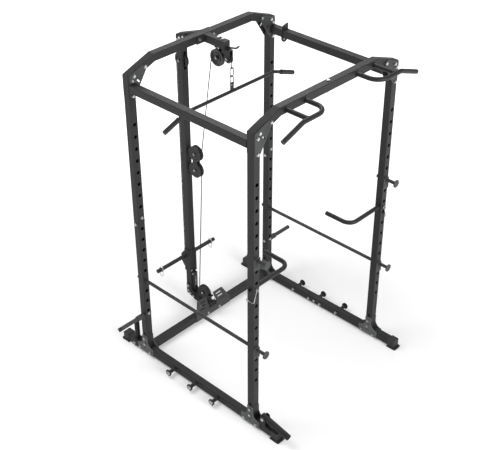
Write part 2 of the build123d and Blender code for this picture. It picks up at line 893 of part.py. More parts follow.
def upside_down(points):
    """An outline in y and z turned over, from the tower's foot to its head."""
    return [(y, top_z + rail_low - z) for y, z in points]


# Slanting arms from the cage to the tower's foot and head
arm_start = outer_y + seat
arm_root = arm_start + flange
wall_slant = tube_wall / cos(radians(bend))
arm_skin = [
    (arm_root - seat, arm_axis(arm_root) - slant / 2),
    (tower_back, tower_low_z),
    (tower_front, tower_low_z + tube * mitre),
    (arm_root - seat, arm_axis(arm_root) + slant / 2),
]
far_back = tower_back - tube_wall + over
far_front = tower_front + tube_wall + over
arm_core = [
    (arm_root, arm_axis(arm_root) - slant / 2 + wall_slant),
    (far_back, arm_axis(far_back) - slant / 2 + wall_slant),
    (far_front, arm_axis(far_front) + slant / 2 - wall_slant),
    (arm_root, arm_axis(arm_root) + slant / 2 - wall_slant),
]
arm_bolts = [(y, arm_axis(y)) for y in gusset_arm_bolts]
arm_flange_z = (rail_low + seat, arm_axis(arm_root) + slant / 2)
with BuildPart() as tower_arms:
    for turned in (list, upside_down):
        sheet_x(turned(arm_skin), -half, half)
        low_edge = turned(arm_skin[:2])
        rise = low_edge[1][1] - low_edge[0][1]
        arm_line = Axis((0, 0, 0), (0, low_edge[1][0] - low_edge[0][0], rise))
        fillet(edges().filter_by(arm_line), tube_corner)
        flange_outline = [
            (arm_start, arm_flange_z[0]),
            (arm_root, arm_flange_z[0]),
            (arm_root, arm_flange_z[1]),
            (arm_start, arm_flange_z[1]),
        ]
        sheet_x(turned(flange_outline), -flange_half_width, flange_half_width)
        sheet_x(turned(arm_core), -half + tube_wall, half - tube_wall, Mode.SUBTRACT)
        holes_x(turned(arm_bolts), bolt_hole, -half - over, half + over)
        flange_spots = turned([(0, rail_z)])
        flange_z = flange_spots[0][1]
        spots = [(-flange_bolt_x, flange_z), (flange_bolt_x, flange_z)]
        holes_y(spots, bolt_hole, arm_start - over, arm_root + over)
save(tower_arms, "tower_arms")

# Corner plates at the tower's foot and head
with BuildPart() as tower_plates:
    for turned in (list, upside_down):
        sheet_x(turned(gusset_low), half + seat, half + plate_step)
        spots = [(tower_y, z) for z in gusset_mast_bolts] + arm_bolts
        holes_x(turned(spots), bolt_hole, half, half + plate_step + over)
    mirror(about=Plane.YZ)
save(tower_plates, "tower_corner_plates")

# Front arm with its flange and wire hook
arm_back = inner_y - seat
hook_rise = Vector(0, -cos(radians(hook_angle)), sin(radians(hook_angle)))
tip_rise = Vector(0, -cos(radians(hook_tip_angle)), sin(radians(hook_tip_angle)))
hook_start = Vector(0, arm_front + tube_wall, beam_low + tube_wall + hook_wire)
hook_middle = hook_start + hook_rise * hook_run
with BuildPart() as front_arm:
    block((-half, arm_front, beam_low), (half, arm_back - flange, top_z))
    fillet(edges().filter_by(Axis.Y), tube_corner)
    block(
        (-half + tube_wall, arm_front + tube_wall, beam_low + tube_wall),
        (half - tube_wall, arm_back - flange, top_z - tube_wall),
        Mode.SUBTRACT,
    )
    block(
        (-flange_half_width, arm_back - flange, beam_low - flange_lip),
        (flange_half_width, arm_back, top_z + flange_lip),
    )
    spots = [(-flange_bolt_x, grip_z), (flange_bolt_x, grip_z)]
    holes_y(spots, bolt_hole, arm_back - flange - over, arm_back + over)
    holes_z([(0, y) for y in arm_bolt_y], bolt_hole, beam_low - over, top_z + over)
    bent_bar([hook_start, hook_middle, hook_middle + tip_rise * hook_tip], hook_wire, [hook_corner])
save(front_arm, "front_arm")

# Channel under the front arm that carries two pulleys, the rear one on the far cheek alone
channel_top = beam_low - seat
channel_outer = cheek_inner + cheek
with BuildPart() as arm_bracket:
    block(
        (-channel_outer, arm_bracket_y[0], channel_top - cheek),
        (channel_outer, arm_bracket_y[1], channel_top),
    )
    holes_z([(0, y) for y in arm_bolt_y], bolt_hole, channel_top - cheek - over, channel_top + over)
    near_back = arm_front + near_cheek_back
    for cheek_low, cheek_back in ((-channel_outer, near_back), (cheek_inner, arm_bracket_y[1])):
        block(
            (cheek_low, arm_bracket_y[0], arm_bracket_skirt),
            (cheek_low + cheek, cheek_back, channel_top),
        )
        lobe_y, lobe_z = arm_front_pulley
        lobe = [
            (lobe_y - arm_lobe_radius, lobe_z),
            (lobe_y - arm_lobe_spread, arm_bracket_skirt),
            (lobe_y + arm_lobe_spread, arm_bracket_skirt),
            (lobe_y + arm_lobe_radius, lobe_z),
        ]
        sheet_x(lobe, cheek_low, cheek_low + cheek)
        rod((cheek_low, lobe_y, lobe_z), (cheek_low + cheek, lobe_y, lobe_z), arm_lobe_radius)
    strap_y, strap_z = arm_rear_pulley
    strap = [
        (lobe_y, lobe_z - arm_lobe_radius),
        (strap_y, strap_z - strap_radius),
        (strap_y + strap_radius, strap_z),
        (strap_y + strap_radius, arm_bracket_skirt),
        (lobe_y, arm_bracket_skirt),
    ]
    sheet_x(strap, cheek_inner, channel_outer)
    rod((cheek_inner, strap_y, strap_z), (channel_outer, strap_y, strap_z), strap_radius)
    holes_x([arm_front_pulley, arm_rear_pulley], nut_bore, -channel_outer - over, channel_outer + over)
save(arm_bracket, "arm_pulley_bracket")

# Bracket on the foot arm that carries the low pulley and the ball's stop plate
bracket_front, bracket_back = low_bracket_y
web_front = arm_axis(bracket_front) + slant / 2 + fit
web_back = arm_axis(bracket_back) + slant / 2 + fit
low_cheek = [
    (bracket_front, web_front),
    (bracket_back, web_back),
    (bracket_back, low_pulley[1]),
    (stop_plate_y[0], stop_plate_z[1]),
    (stop_plate_y[0], stop_plate_z[0]),
    (bracket_front, stop_plate_z[0]),
]
low_web = [
    (bracket_front, web_front),
    (bracket_back, web_back),
    (bracket_back, web_back + cheek),
    (bracket_front, web_front + cheek),
]
with BuildPart() as low_bracket:
    for cheek_low in (-channel_outer, cheek_inner):
        sheet_x(low_cheek, cheek_low, cheek_low + cheek)
        rod((cheek_low, *low_pulley), (cheek_low + cheek, *low_pulley), low_cover_radius)
    sheet_x(low_web, -channel_outer, channel_outer)
    block(
        (-channel_outer, stop_plate_y[0], stop_plate_z[0]),
        (channel_outer, stop_plate_y[1], stop_plate_z[1]),
    )
    holes_x([low_pulley], nut_bore, -channel_outer - over, channel_outer + over)
    holes_y([(0, sum(stop_plate_z) / 2)], stop_hole_radius, stop_plate_y[0] - over, stop_plate_y[1] + over)
save(low_bracket, "low_pulley_bracket")

# Cheeks of the floating block, round discs that cover its two pulleys
with BuildPart() as block_plates:
    upper_y, upper_z = float_upper_pulley
    lower_y, lower_z = float_lower_pulley
    block(
        (cheek_inner, upper_y - block_radius, lower_z),
        (cheek_inner + block_cheek, upper_y + block_radius, upper_z),
    )
    rod((cheek_inner, upper_y, upper_z), (cheek_inner + block_cheek, upper_y, upper_z), large_rim)
    rod((cheek_inner, lower_y, lower_z), (cheek_inner + block_cheek, lower_y, lower_z), large_rim)
    holes_x([float_upper_pulley, float_lower_pulley], nut_bore, cheek_inner - over, channel_outer + over)
    mirror(about=Plane.YZ)
save(block_plates, "floating_block_plates")


def make_pulley(centre, groove, rim, name, near_hub=bracket_hub, far_hub=bracket_hub):
    """A grooved wheel with a hub on both sides, turning about X."""
    y, z = centre
    bottom = groove - cable_radius - fit
    profile = [
        (-near_hub, nut_bore),
        (far_hub, nut_bore),
        (far_hub, hub_radius),
        (pulley_web, hub_radius),
        (pulley_web, bottom - pulley_web),
        (rim_half_width, bottom - pulley_web),
        (rim_half_width, rim),
        (cable_radius + fit, bottom),
        (-cable_radius - fit, bottom),
        (-rim_half_width, rim),
        (-rim_half_width, bottom - pulley_web),
        (-pulley_web, bottom - pulley_web),
        (-pulley_web, hub_radius),
        (-near_hub, hub_radius),
    ]
    with BuildPart() as pulley:
        with BuildSketch(Plane(origin=(0, y, z), x_dir=(1, 0, 0), z_dir=(0, -1, 0))):
            with BuildLine():
                Polyline(*profile, close=True)
            make_face()
        revolve(axis=Axis((0, y, z), (1, 0, 0)))
    save(pulley, name)


make_pulley(arm_front_pulley, small_groove, small_rim, "pulley_arm_front")
make_pulley(arm_rear_pulley, large_groove, large_rim, "pulley_arm_rear", rim_half_width)
make_pulley(tower_pulley, large_groove, large_rim, "pulley_tower_top", tower_hub, tower_hub)
make_pulley(float_upper_pulley, large_groove, large_rim, "pulley_float_upper")
make_pulley(float_lower_pulley, large_groove, large_rim, "pulley_float_lower")
make_pulley(low_pulley, large_groove, large_rim, "pulley_low")


def heading(first, second):
    """Direction in degrees from one place in y and z to another."""
    way = Vector(*second) - Vector(*first)
    return degrees(atan2(way.Y, way.X))


def crossing(first, second, reach):
    """Angle between the line of two centres and the radius where a cable that touches both leaves them."""
    return degrees(acos(reach / (Vector(*second) - Vector(*first)).length))


# Lat cable in the middle plane, from the front pulley to behind the tower
lead_angle = heading(arm_front_pulley, arm_rear_pulley)
lead_angle += crossing(arm_front_pulley, arm_rear_pulley, small_groove - large_groove)
drop_angle = heading(arm_rear_pulley, float_upper_pulley)
drop_angle += crossing(arm_rear_pulley, float_upper_pulley, 2 * large_groove)
with BuildPart() as lat_cable:
    with BuildLine(Plane.YZ) as lat_route:
        over_front = CenterArc(arm_front_pulley, small_groove, 180, lead_angle - 180)
        over_rear = CenterArc(arm_rear_pulley, large_groove, lead_angle, drop_angle - lead_angle)
        Line(over_front @ 1, over_rear @ 0)
        under_block = CenterArc(float_upper_pulley, large_groove, drop_angle + 180, 180 - drop_angle)
        Line(over_rear @ 1, under_block @ 0)
        over_tower = CenterArc(tower_pulley, large_groove, 180, -180)
        Line(under_block @ 1, over_tower @ 0)
    with BuildSketch(Plane(origin=lat_route.line @ 0, z_dir=lat_route.line % 0)):
        Circle(cable_radius)
    sweep()
save(lat_cable, "lat_cable")

# The two ends of the lat cable that grow and shrink as it runs
eye_z = link_top_z - link_wire - eye_wire - fit + eye_radius
eye_top = eye_z + eye_radius + eye_wire
lug_top = max(z for y, z in lug_outline)
with BuildPart() as cable_drop_run:
    rod((0, lat_y, eye_top + seat), (0, lat_y, arm_front_pulley[1] - seat), cable_radius)
save(cable_drop_run, "lat_cable_drop")
with BuildPart() as cable_lift_run:
    rod((0, lug_cable_y, lug_top + seat), (0, lug_cable_y, tower_pulley[1] - seat), cable_radius)
save(cable_lift_run, "lat_cable_lift")

# Low cable from its anchor on the column, over the block and under the low pulley to the ball
anchor_y = float_lower_pulley[0] + large_groove
anchor_low = column_top + seat
cross_angle = heading(float_lower_pulley, low_pulley)
cross_angle += 360 - crossing(float_lower_pulley, low_pulley, 2 * large_groove)
ball_way = Vector(*low_pulley) - Vector(ball_y, ball_z)
leave_angle = degrees(atan2(-ball_way.Y, -ball_way.X)) + degrees(acos(large_groove / ball_way.length))
with BuildPart() as low_cable:
    with BuildLine(Plane.YZ) as low_route:
        over_block = CenterArc(float_lower_pulley, large_groove, 0, cross_angle)
        Line((anchor_y, anchor_low + anchor_height), over_block @ 0)
        under_low = CenterArc(low_pulley, large_groove, cross_angle - 180, leave_angle - cross_angle + 180)
        Line(over_block @ 1, under_low @ 0)
        last_run = Vector(0, ball_y, ball_z) - (under_low @ 1)
        last_length = last_run.length - ball_radius - seat
        Line(under_low @ 1, (under_low @ 1) + last_run.normalized() * last_length)
    with BuildSketch(Plane(origin=low_route.line @ 0, z_dir=low_route.line % 0)):
        Circle(cable_radius)
    sweep()
    anchor_end = (0, anchor_y, anchor_low + anchor_height)
    rod((0, anchor_y, anchor_low), anchor_end, anchor_radius)
save(low_cable, "low_cable")

# Ball at the end of the low cable, with its eye, and the carabiner that hangs there
eye_y = ball_y - ball_radius - ball_eye / 2
with BuildPart() as cable_ball:
    with Locations((0, ball_y, ball_z)):
        Sphere(ball_radius)
    with Locations(Plane(origin=(0, eye_y, ball_z), z_dir=(1, 0, 0))):
        Torus(ball_eye, ball_eye_wire)
save(cable_ball, "low_cable_ball")


def make_link(middle, width_way, half_width, low, high, wire):
    """A long ring of round wire standing on end, flat along one direction."""
    y_dir = Vector(0, 0, 1)
    level = Plane(origin=middle, x_dir=width_way, z_dir=Vector(*width_way).cross(y_dir))
    low_arc, high_arc = low + half_width, high - half_width
    with BuildLine(level) as loop:
        Line((half_width, low_arc), (half_width, high_arc))
        CenterArc((0, high_arc), half_width, 0, 180)
        Line((-half_width, high_arc), (-half_width, low_arc))
        CenterArc((0, low_arc), half_width, 180, 180)
    wire_level = Plane(origin=loop.line @ 0, z_dir=loop.line % 0)
    with BuildSketch(wire_level) as section:
        Circle(wire)
    sweep(section.sketch, path=loop.line)


clip_top = ball_z - ball_eye + ball_eye_wire + clip_wire + fit
with BuildPart() as carabiner:
    make_link((0, eye_y, 0), (1, 0, 0), clip_half_width, clip_top - clip_height, clip_top, clip_wire)
save(carabiner, "carabiner")

# Weight carriage: sleeve round the mast, cross bar for the plates and lug for the cable
with BuildPart() as carriage:
    block(
        (-sleeve_half, tower_y - sleeve_half, sleeve_low),
        (sleeve_half, tower_y + sleeve_half, sleeve_high),
    )
    fillet(edges().filter_by(Axis.Z), tube_wall)
    block(
        (-sleeve_bore, tower_y - sleeve_bore, sleeve_low - over),
        (sleeve_bore, tower_y + sleeve_bore, sleeve_high + over),
        Mode.SUBTRACT,
    )
    block(
        (-sleeve_half, tower_y + sleeve_half - tube_wall, weight_bar_z - saddle_half_height),
        (sleeve_half, weight_bar_y, weight_bar_z + saddle_half_height),
    )
    bar_end = weight_bar_reach + weight_cap
    rod((-bar_end, weight_bar_y, weight_bar_z), (bar_end, weight_bar_y, weight_bar_z), horn_radius)
    sheet_x(lug_outline, -lug_half_width, lug_half_width)
    for side in (-1, 1):
        ring_start = (side * weight_bar_reach, weight_bar_y, weight_bar_z)
        with BuildSketch(Plane(origin=ring_start, z_dir=(side, 0, 0))):
            Circle(horn_radius + over)
            Circle(horn_radius - horn_groove, mode=Mode.SUBTRACT)
        extrude(amount=horn_groove, mode=Mode.SUBTRACT)
save(carriage, "weight_carriage")

# Ribbed column that the carriage rests on
with BuildPart() as column:
    block((-column_half_width, column_front, column_low), (column_half_width, tower_front - seat, column_top))
    for i in range(1, int((column_top - column_low) / column_rib_pitch)):
        rib_z = column_low + i * column_rib_pitch
        block(
            (-column_half_width - over, column_front - over, rib_z),
            (column_half_width + over, column_front + column_rib_depth, rib_z + column_rib),
            Mode.SUBTRACT,
        )
save(column, "carriage_stop")

# Spring collars on the plate bar
for side, name in ((-1, "left"), (1, "right")):
    ring_x = side * collar_x
    loop_high = weight_bar_z - collar_radius / 2
    loop_low = loop_high - collar_loop_drop
    loop_route = [
        (ring_x, weight_bar_y - collar_loop_half, loop_high),
        (ring_x, weight_bar_y - collar_loop_half, loop_low),
        (ring_x, weight_bar_y + collar_loop_half, loop_low),
        (ring_x, weight_bar_y + collar_loop_half, loop_high),
    ]
    near, far = ring_x - collar_width / 2, ring_x + collar_width / 2
    with BuildPart() as collar:
        rod((near, weight_bar_y, weight_bar_z), (far, weight_bar_y, weight_bar_z), collar_radius)
        bent_bar(loop_route, collar_wire, [collar_loop_half - collar_wire] * 2)
        bore_start = (near - over, weight_bar_y, weight_bar_z)
        rod(bore_start, (far + over, weight_bar_y, weight_bar_z), horn_radius + fit, Mode.SUBTRACT)
    save(collar, f"spring_collar_{name}")

# Footplate: an apron on the crossmember and two slotted treads that lean back
apron_back = inner_y - seat
lean = radians(tread_lean)
with BuildPart() as footplate:
    block(
        (-apron_half_width, apron_back - plate, rail_low + apron_low_gap),
        (apron_half_width, apron_back, rail_top + apron_rise),
    )
    spots = [(-flange_bolt_x, rail_z), (flange_bolt_x, rail_z)]
    holes_y(spots, bolt_hole, apron_back - plate - over, apron_back + over)
    tread_root = (0, apron_back, rail_top + apron_rise - plate / 2)
    with BuildSketch(Plane(origin=tread_root, x_dir=(1, 0, 0), z_dir=(0, -cos(lean), sin(lean)))):
        with BuildLine():
            Polyline(
                (tread_inner, 0),
                (apron_half_width, 0),
                (tread_top, tread_length),
                (tread_inner, tread_length),
                close=True,
            )
        make_face()
        with Locations(*zip(tread_slot_x, tread_slot_rise)):
            SlotOverall(*tread_slot_size, mode=Mode.SUBTRACT)
    extrude(amount=plate)
    mirror(about=Plane.YZ)
save(footplate, "footplate")

# Lat bar with its welded tab
lat_drop = (lat_reach - lat_flat) * slope
lat_route_points = [
    (-lat_reach, lat_y, lat_z - lat_drop),
    (-lat_flat, lat_y, lat_z),
    (lat_flat, lat_y, lat_z),
    (lat_reach, lat_y, lat_z - lat_drop),
]
tab_hole_z = link_low_z + link_wire + 2 * fit - lat_tab_hole
with BuildPart() as lat_bar:
    bent_bar(lat_route_points, pin_bar_radius, [lat_corner, lat_corner])
    block(
        (-lat_tab_half_width, lat_y - lat_tab_thick / 2, lat_z),
        (lat_tab_half_width, lat_y + lat_tab_thick / 2, lat_tab_top),
    )
    holes_y([(0, tab_hole_z)], lat_tab_hole, lat_y - lat_tab_thick, lat_y + lat_tab_thick)
save(lat_bar, "lat_bar")

# Rubber grips over the lat bar's drooping ends
grip_axis_z = lat_z - (lat_grip_start - lat_flat) * slope
grip_middle = Plane(origin=(lat_grip_start, lat_y, grip_axis_z), z_dir=grip_way)
grip_length = (lat_grip_end - lat_grip_start) / cos(radians(bend))
bar_length = (lat_reach - lat_grip_start) / cos(radians(bend))
with BuildPart() as lat_grips:
    with BuildSketch(grip_middle):
        Circle(lat_grip_radius)
    extrude(amount=grip_length)
    with BuildSketch(grip_middle.offset(-over)):
        Circle(pin_bar_radius + fit)
    extrude(amount=over + bar_length + fit, mode=Mode.SUBTRACT)
    mirror(about=Plane.YZ)
save(lat_grips, "lat_bar_grips")

# Two chain links and the cable's eye above the lat bar
join_top = link_join_z + 2 * link_wire + fit
with BuildPart() as chain:
    make_link((0, lat_y, 0), (0, 1, 0), link_half_width, link_low_z, join_top, link_wire)
    make_link((0, lat_y, 0), (1, 0, 0), link_half_width, link_join_z, link_top_z, link_wire)
    with Locations(Plane(origin=(0, lat_y, eye_z), z_dir=(1, 0, 0))):
        Torus(eye_radius, eye_wire)
save(chain, "lat_chain")

# Pivot yoke that swivels on the rail
yoke_low = rail_top + yoke_lift
yoke_top = yoke_low + yoke_base
yoke_outer = yoke_inner + yoke_ear
with BuildPart() as yoke:
    with BuildSketch(Plane.XY.offset(yoke_low)):
        with Locations((-upright_x, pivot_y)):
            RectangleRounded(2 * yoke_outer, 2 * yoke_half_depth, yoke_ear)
    extrude(amount=yoke_base)
    for ear_low in (-upright_x - yoke_outer, -upright_x + yoke_inner):
        block(
            (ear_low, pivot_y - yoke_ear_radius, yoke_low),
            (ear_low + yoke_ear, pivot_y + yoke_ear_radius, pivot_z),
        )
        rod((ear_low, pivot_y, pivot_z), (ear_low + yoke_ear, pivot_y, pivot_z), yoke_ear_radius)
    rod((-upright_x, pivot_y, yoke_low - stud_depth), (-upright_x, pivot_y, yoke_top), stud_radius)
    ear_near, ear_far = -upright_x - yoke_outer - over, -upright_x + yoke_outer + over
    holes_x([(pivot_y, pivot_z)], pivot_bolt_radius + seat, ear_near, ear_far)
save(yoke, "pivot_yoke")

# Pivot sleeve that takes a bar's end
droop = radians(pivot_droop)
pivot_way = Vector(0, -cos(droop), -sin(droop))
pivot_middle = Vector(-upright_x, pivot_y, pivot_z)
with BuildPart() as sleeve:
    rod(pivot_middle - pivot_way * pivot_back, pivot_middle + pivot_way * pivot_front, pivot_radius)
    bore_start = pivot_middle + pivot_way * pivot_radius
    rod(bore_start, pivot_middle + pivot_way * (pivot_front + over), pivot_bore, Mode.SUBTRACT)
    holes_x([(pivot_y, pivot_z)], pivot_bolt_radius + fit, ear_near, ear_far)
save(sleeve, "pivot_tube")

# Bolt through the yoke's ears, with its head outside
bolt_face = -upright_x - yoke_outer - seat
bolt_end = -upright_x + yoke_outer + seat
with BuildPart() as pivot_bolt:
    rod((bolt_face - pivot_head, pivot_y, pivot_z), (bolt_face, pivot_y, pivot_z), pivot_head_radius)
    rod((bolt_face, pivot_y, pivot_z), (bolt_end, pivot_y, pivot_z), pivot_bolt_radius)
    with BuildSketch(across_x(bolt_end)):
        with Locations((pivot_y, pivot_z)):
            RegularPolygon(pivot_head_radius, 6)
    extrude(amount=pivot_head)
save(pivot_bolt, "pivot_bolt")

# Places of the frame's bolts and nuts: the face under the head, the way in and the clamped length
bolt_planes = {bolt_length: [], short_bolt_length: []}
nut_planes = []


def fasten(face, way, grip=0, length=bolt_length):
    """One bolt that enters at a face, and the nut on the far side of what it clamps, if it clamps through."""
    way = Vector(*way)
    bolt_planes[length].append(Plane(origin=Vector(*face) - way * seat, z_dir=way))
    if grip:
        nut_planes.append(Plane(origin=Vector(*face) + way * (grip + seat), z_dir=way))


plated = tube + 2 * plate_step
for side in (-1, 1):
    for end in (-1, 1):
        foot_x = side * (outer_x + plate_step)
        for z in foot_bolt_z:
            fasten((foot_x, end * upright_y, z), (-side, 0, 0), plated)
        for step in (-1, 1):
            fasten((foot_x, end * upright_y + step * rail_bolt_y, rail_bolt_z), (-side, 0, 0), plated)
        head_y = end * upright_y - half - plate_step
        for z in corner_bolt_z:
            fasten((side * upright_x, head_y, z), (0, 1, 0), plated)
        for x, z in beam_bolts:
            fasten((side * x, head_y, z), (0, 1, 0), plated)
        fasten((side * inner_x, end * rail_spare_y, rail_spare_z), (side, 0, 0), length=short_bolt_length)
    for y in peg_y:
        fasten((side * inner_x, y, rail_z), (side, 0, 0))
    fasten((side * inner_x, upright_y, horn_z), (side, 0, 0))
    fasten((side * upright_x, inner_y, horn_bolt_z), (0, 1, 0), tube)
    fasten((side * upright_x, inner_y, splice_y_bolt_z), (0, 1, 0), tube)
    fasten((side * upright_x - half, upright_y, splice_x_bolt_z), (1, 0, 0), tube)
    fasten((side * flange_bolt_x, arm_back - flange, grip_z), (0, 1, 0), tube + 2 * (flange + seat))
    fasten((side * flange_bolt_x, apron_back - plate, rail_z), (0, 1, 0), tube + plate_step + flange + seat)
fasten((holder_face - flange, holder_y, rail_z), (1, 0, 0), tube + flange + seat)
fasten((0, -upright_y, top_z), (0, 0, -1), tube)
for y in arm_bolt_y:
    fasten((0, y, top_z), (0, 0, -1), tube + seat + cheek)
for turned in (list, upside_down):
    for y, z in turned([(tower_y, z) for z in gusset_mast_bolts] + arm_bolts):
        fasten((-half - plate_step, y, z), (1, 0, 0), plated)
for y, z in (arm_front_pulley, low_pulley):
    fasten((-channel_outer, y, z), (1, 0, 0), 2 * channel_outer, short_bolt_length)
open_face = rim_half_width + hub_room
fasten((-open_face, *arm_rear_pulley), (1, 0, 0), open_face + channel_outer, short_bolt_length)
block_outer = cheek_inner + block_cheek
for y, z in (float_upper_pulley, float_lower_pulley):
    fasten((-block_outer, y, z), (1, 0, 0), 2 * block_outer, short_bolt_length)
fasten((-half, *tower_pulley), (1, 0, 0), tube)

bolts = {}
for length in bolt_planes:
    with BuildPart() as bolt:
        Cylinder(bolt_radius, length, align=(Align.CENTER, Align.CENTER, Align.MIN))
        with BuildSketch():
            Circle(bolt_flange_radius)
        extrude(amount=-bolt_flange_height)
        with BuildSketch(Plane.XY.offset(-bolt_flange_height)):
            RegularPolygon(hex_apothem, 6, major_radius=False)
        extrude(amount=-hex_height)
    bolts[length] = bolt.part
with BuildPart() as frame_bolts:
    for length, planes in bolt_planes.items():
        with Locations(*planes):
            add(bolts[length])
save(frame_bolts, "frame_bolts")

with BuildPart() as nut:
    with BuildSketch():
        RegularPolygon(hex_apothem, 6, major_radius=False)
        Circle(nut_bore, mode=Mode.SUBTRACT)
    extrude(amount=nut_height)
with BuildPart() as frame_nuts:
    with Locations(*nut_planes):
        add(nut.part)
save(frame_nuts, "frame_nuts")
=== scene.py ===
from math import cos, pi, radians, sin, sqrt, tan

import bpy
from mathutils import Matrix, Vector


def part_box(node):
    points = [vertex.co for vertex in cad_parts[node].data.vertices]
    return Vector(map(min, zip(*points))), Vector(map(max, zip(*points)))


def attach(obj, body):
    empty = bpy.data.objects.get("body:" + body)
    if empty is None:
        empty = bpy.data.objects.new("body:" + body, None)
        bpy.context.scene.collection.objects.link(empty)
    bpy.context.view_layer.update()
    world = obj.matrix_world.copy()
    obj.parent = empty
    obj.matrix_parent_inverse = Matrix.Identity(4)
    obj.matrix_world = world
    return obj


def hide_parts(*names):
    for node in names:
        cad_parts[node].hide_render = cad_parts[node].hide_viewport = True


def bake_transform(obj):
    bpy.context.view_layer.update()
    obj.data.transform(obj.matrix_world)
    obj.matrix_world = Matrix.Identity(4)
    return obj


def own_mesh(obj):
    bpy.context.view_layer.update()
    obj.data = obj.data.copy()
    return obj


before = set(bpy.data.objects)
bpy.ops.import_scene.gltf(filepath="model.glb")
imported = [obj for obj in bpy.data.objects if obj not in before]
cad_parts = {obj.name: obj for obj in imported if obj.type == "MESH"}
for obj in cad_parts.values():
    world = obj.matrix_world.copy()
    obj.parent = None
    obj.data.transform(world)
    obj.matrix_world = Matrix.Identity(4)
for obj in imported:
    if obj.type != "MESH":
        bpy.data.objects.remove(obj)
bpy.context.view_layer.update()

# The photograph's camera, for a picture 500 pixels wide
camera_place = (-3.9046, -3.5993, 4.5654)
camera_turn = (56.1216, -0.1056, -46.7551)
focal_pixels = 998.06
picture_width = 500
sensor_width = 36
axis_shift = (-0.0081, -0.0042)

# A millimetre in metres, the left and right sides, and the three axes
mm = 0.001
sides = (-1, 1)
along_x, along_y, along_z = (1, 0, 0), (0, 1, 0), (0, 0, 1)

# Sizes of the solid model that the pieces below sit on, in millimetres
tube_half = 25
outer_y = 517
upright_x = 598
upright_y = 492
mast_y = 685
cable_radius = 3

# The lat bar: where its middle and its bends are, and how its ends slope
lat_y, lat_z = 250, 1850
lat_bend_x = 376
lat_slope = radians(20)

# Where the pulleys turn, in y and z
pulleys = {
    "arm_front_pulley": (275, 2057),
    "arm_rear_pulley": (370, 2034),
    "tower_pulley": (690, 1920),
    "block_upper_pulley": (590, 1279),
    "block_lower_pulley": (590, 1157),
    "low_pulley": (552, 150),
}


def shader(name, **values):
    """A node material, its tree, its shader and a function that adds nodes to it."""
    made = bpy.data.materials.new(name)
    made.use_nodes = True
    tree = made.node_tree
    surface = tree.nodes["Principled BSDF"]
    for key, value in values.items():
        surface.inputs[key.replace("_", " ")].default_value = value

    def node(kind, inputs, **settings):
        added = tree.nodes.new("ShaderNode" + kind)
        for key, value in settings.items():
            setattr(added, key, value)
        for key, value in inputs.items():
            if isinstance(value, bpy.types.NodeSocket):
                tree.links.new(value, added.inputs[key])
            else:
                added.inputs[key].default_value = value
        return added

    return made, tree, surface, node


def noise(node, place, scale, detail=4.0, stretch=(1, 1, 1)):
    """A noise value over the object, finer for a larger scale."""
    spread = node("Mapping", {"Vector": place, "Scale": stretch})
    return node("TexNoise", {"Vector": spread.outputs[0], "Scale": scale, "Detail": detail}).outputs["Fac"]


def ramp(node, value, *stops):
    """Colours along a value, given as place and colour pairs."""
    made = node("ValToRGB", {"Fac": value})
    bar = made.color_ramp
    while len(bar.elements) < len(stops):
        bar.elements.new(1.0)
    for element, (spot, colour) in zip(bar.elements, stops):
        element.position = spot
        element.color = (*colour, 1)
    return made.outputs["Color"]


def mixed(node, share, first, second, way="MIX"):
    """Two colours mixed by a share. The node's sockets repeat their names, so their places pick them."""
    made = node("Mix", {}, data_type="RGBA", blend_type=way)
    for place, value in ((0, share), (6, first), (7, second)):
        if isinstance(value, bpy.types.NodeSocket):
            made.id_data.links.new(value, made.inputs[place])
        else:
            made.inputs[place].default_value = value
    return made.outputs[2]


def ranged(node, value, low, high, start=0.0, end=1.0):
    """A value between start and end mapped onto low to high."""
    inputs = {"Value": value, "From Min": start, "From Max": end, "To Min": low, "To Max": high}
    return node("MapRange", inputs).outputs["Result"]


def times(node, first, second):
    """The product of two values."""
    return node("Math", {0: first, 1: second}, operation="MULTIPLY").outputs[0]


def bumps(tree, node, surface, *heights):
    """Stacked bumps, each a height, its depth in metres and its strength."""
    normal = None
    for height, depth, strength in heights:
        inputs = {"Height": height, "Distance": depth, "Strength": strength}
        if normal:
            inputs["Normal"] = normal
        normal = node("Bump", inputs).outputs["Normal"]
    tree.links.new(normal, surface.inputs["Normal"])


def shade(colour, share):
    """A colour made darker or lighter."""
    return tuple(min(1.0, value * share) for value in colour)


def rubbed_edges(node, place, width=0.002):
    """Patches along edges and round holes where the coat is rubbed, from 0 to 1."""
    rounded = node("Bevel", {"Radius": width}, samples=4).outputs["Normal"]
    facing = node("NewGeometry", {}).outputs["Normal"]
    meeting = node("VectorMath", {0: rounded, 1: facing}, operation="DOT_PRODUCT").outputs["Value"]
    edge = ranged(node, meeting, low=0.0, high=1.0, start=0.98, end=0.8)
    cloudy = noise(node, place, scale=38.0, detail=6.0)
    return times(node, edge, ranged(node, cloudy, low=0.15, high=1.0, start=0.42, end=0.66))


def settled_dust(node, place):
    """Where a little dust lies on faces that look up, from 0 to 1."""
    facing = node("NewGeometry", {}).outputs["Normal"]
    upward = node("SeparateXYZ", {0: facing}).outputs["Z"]
    level = ranged(node, upward, low=0.0, high=1.0, start=0.35, end=0.95)
    cloudy = noise(node, place, scale=14.0, detail=8.0)
    return times(node, level, ranged(node, cloudy, low=0.0, high=1.0, start=0.38, end=0.75))


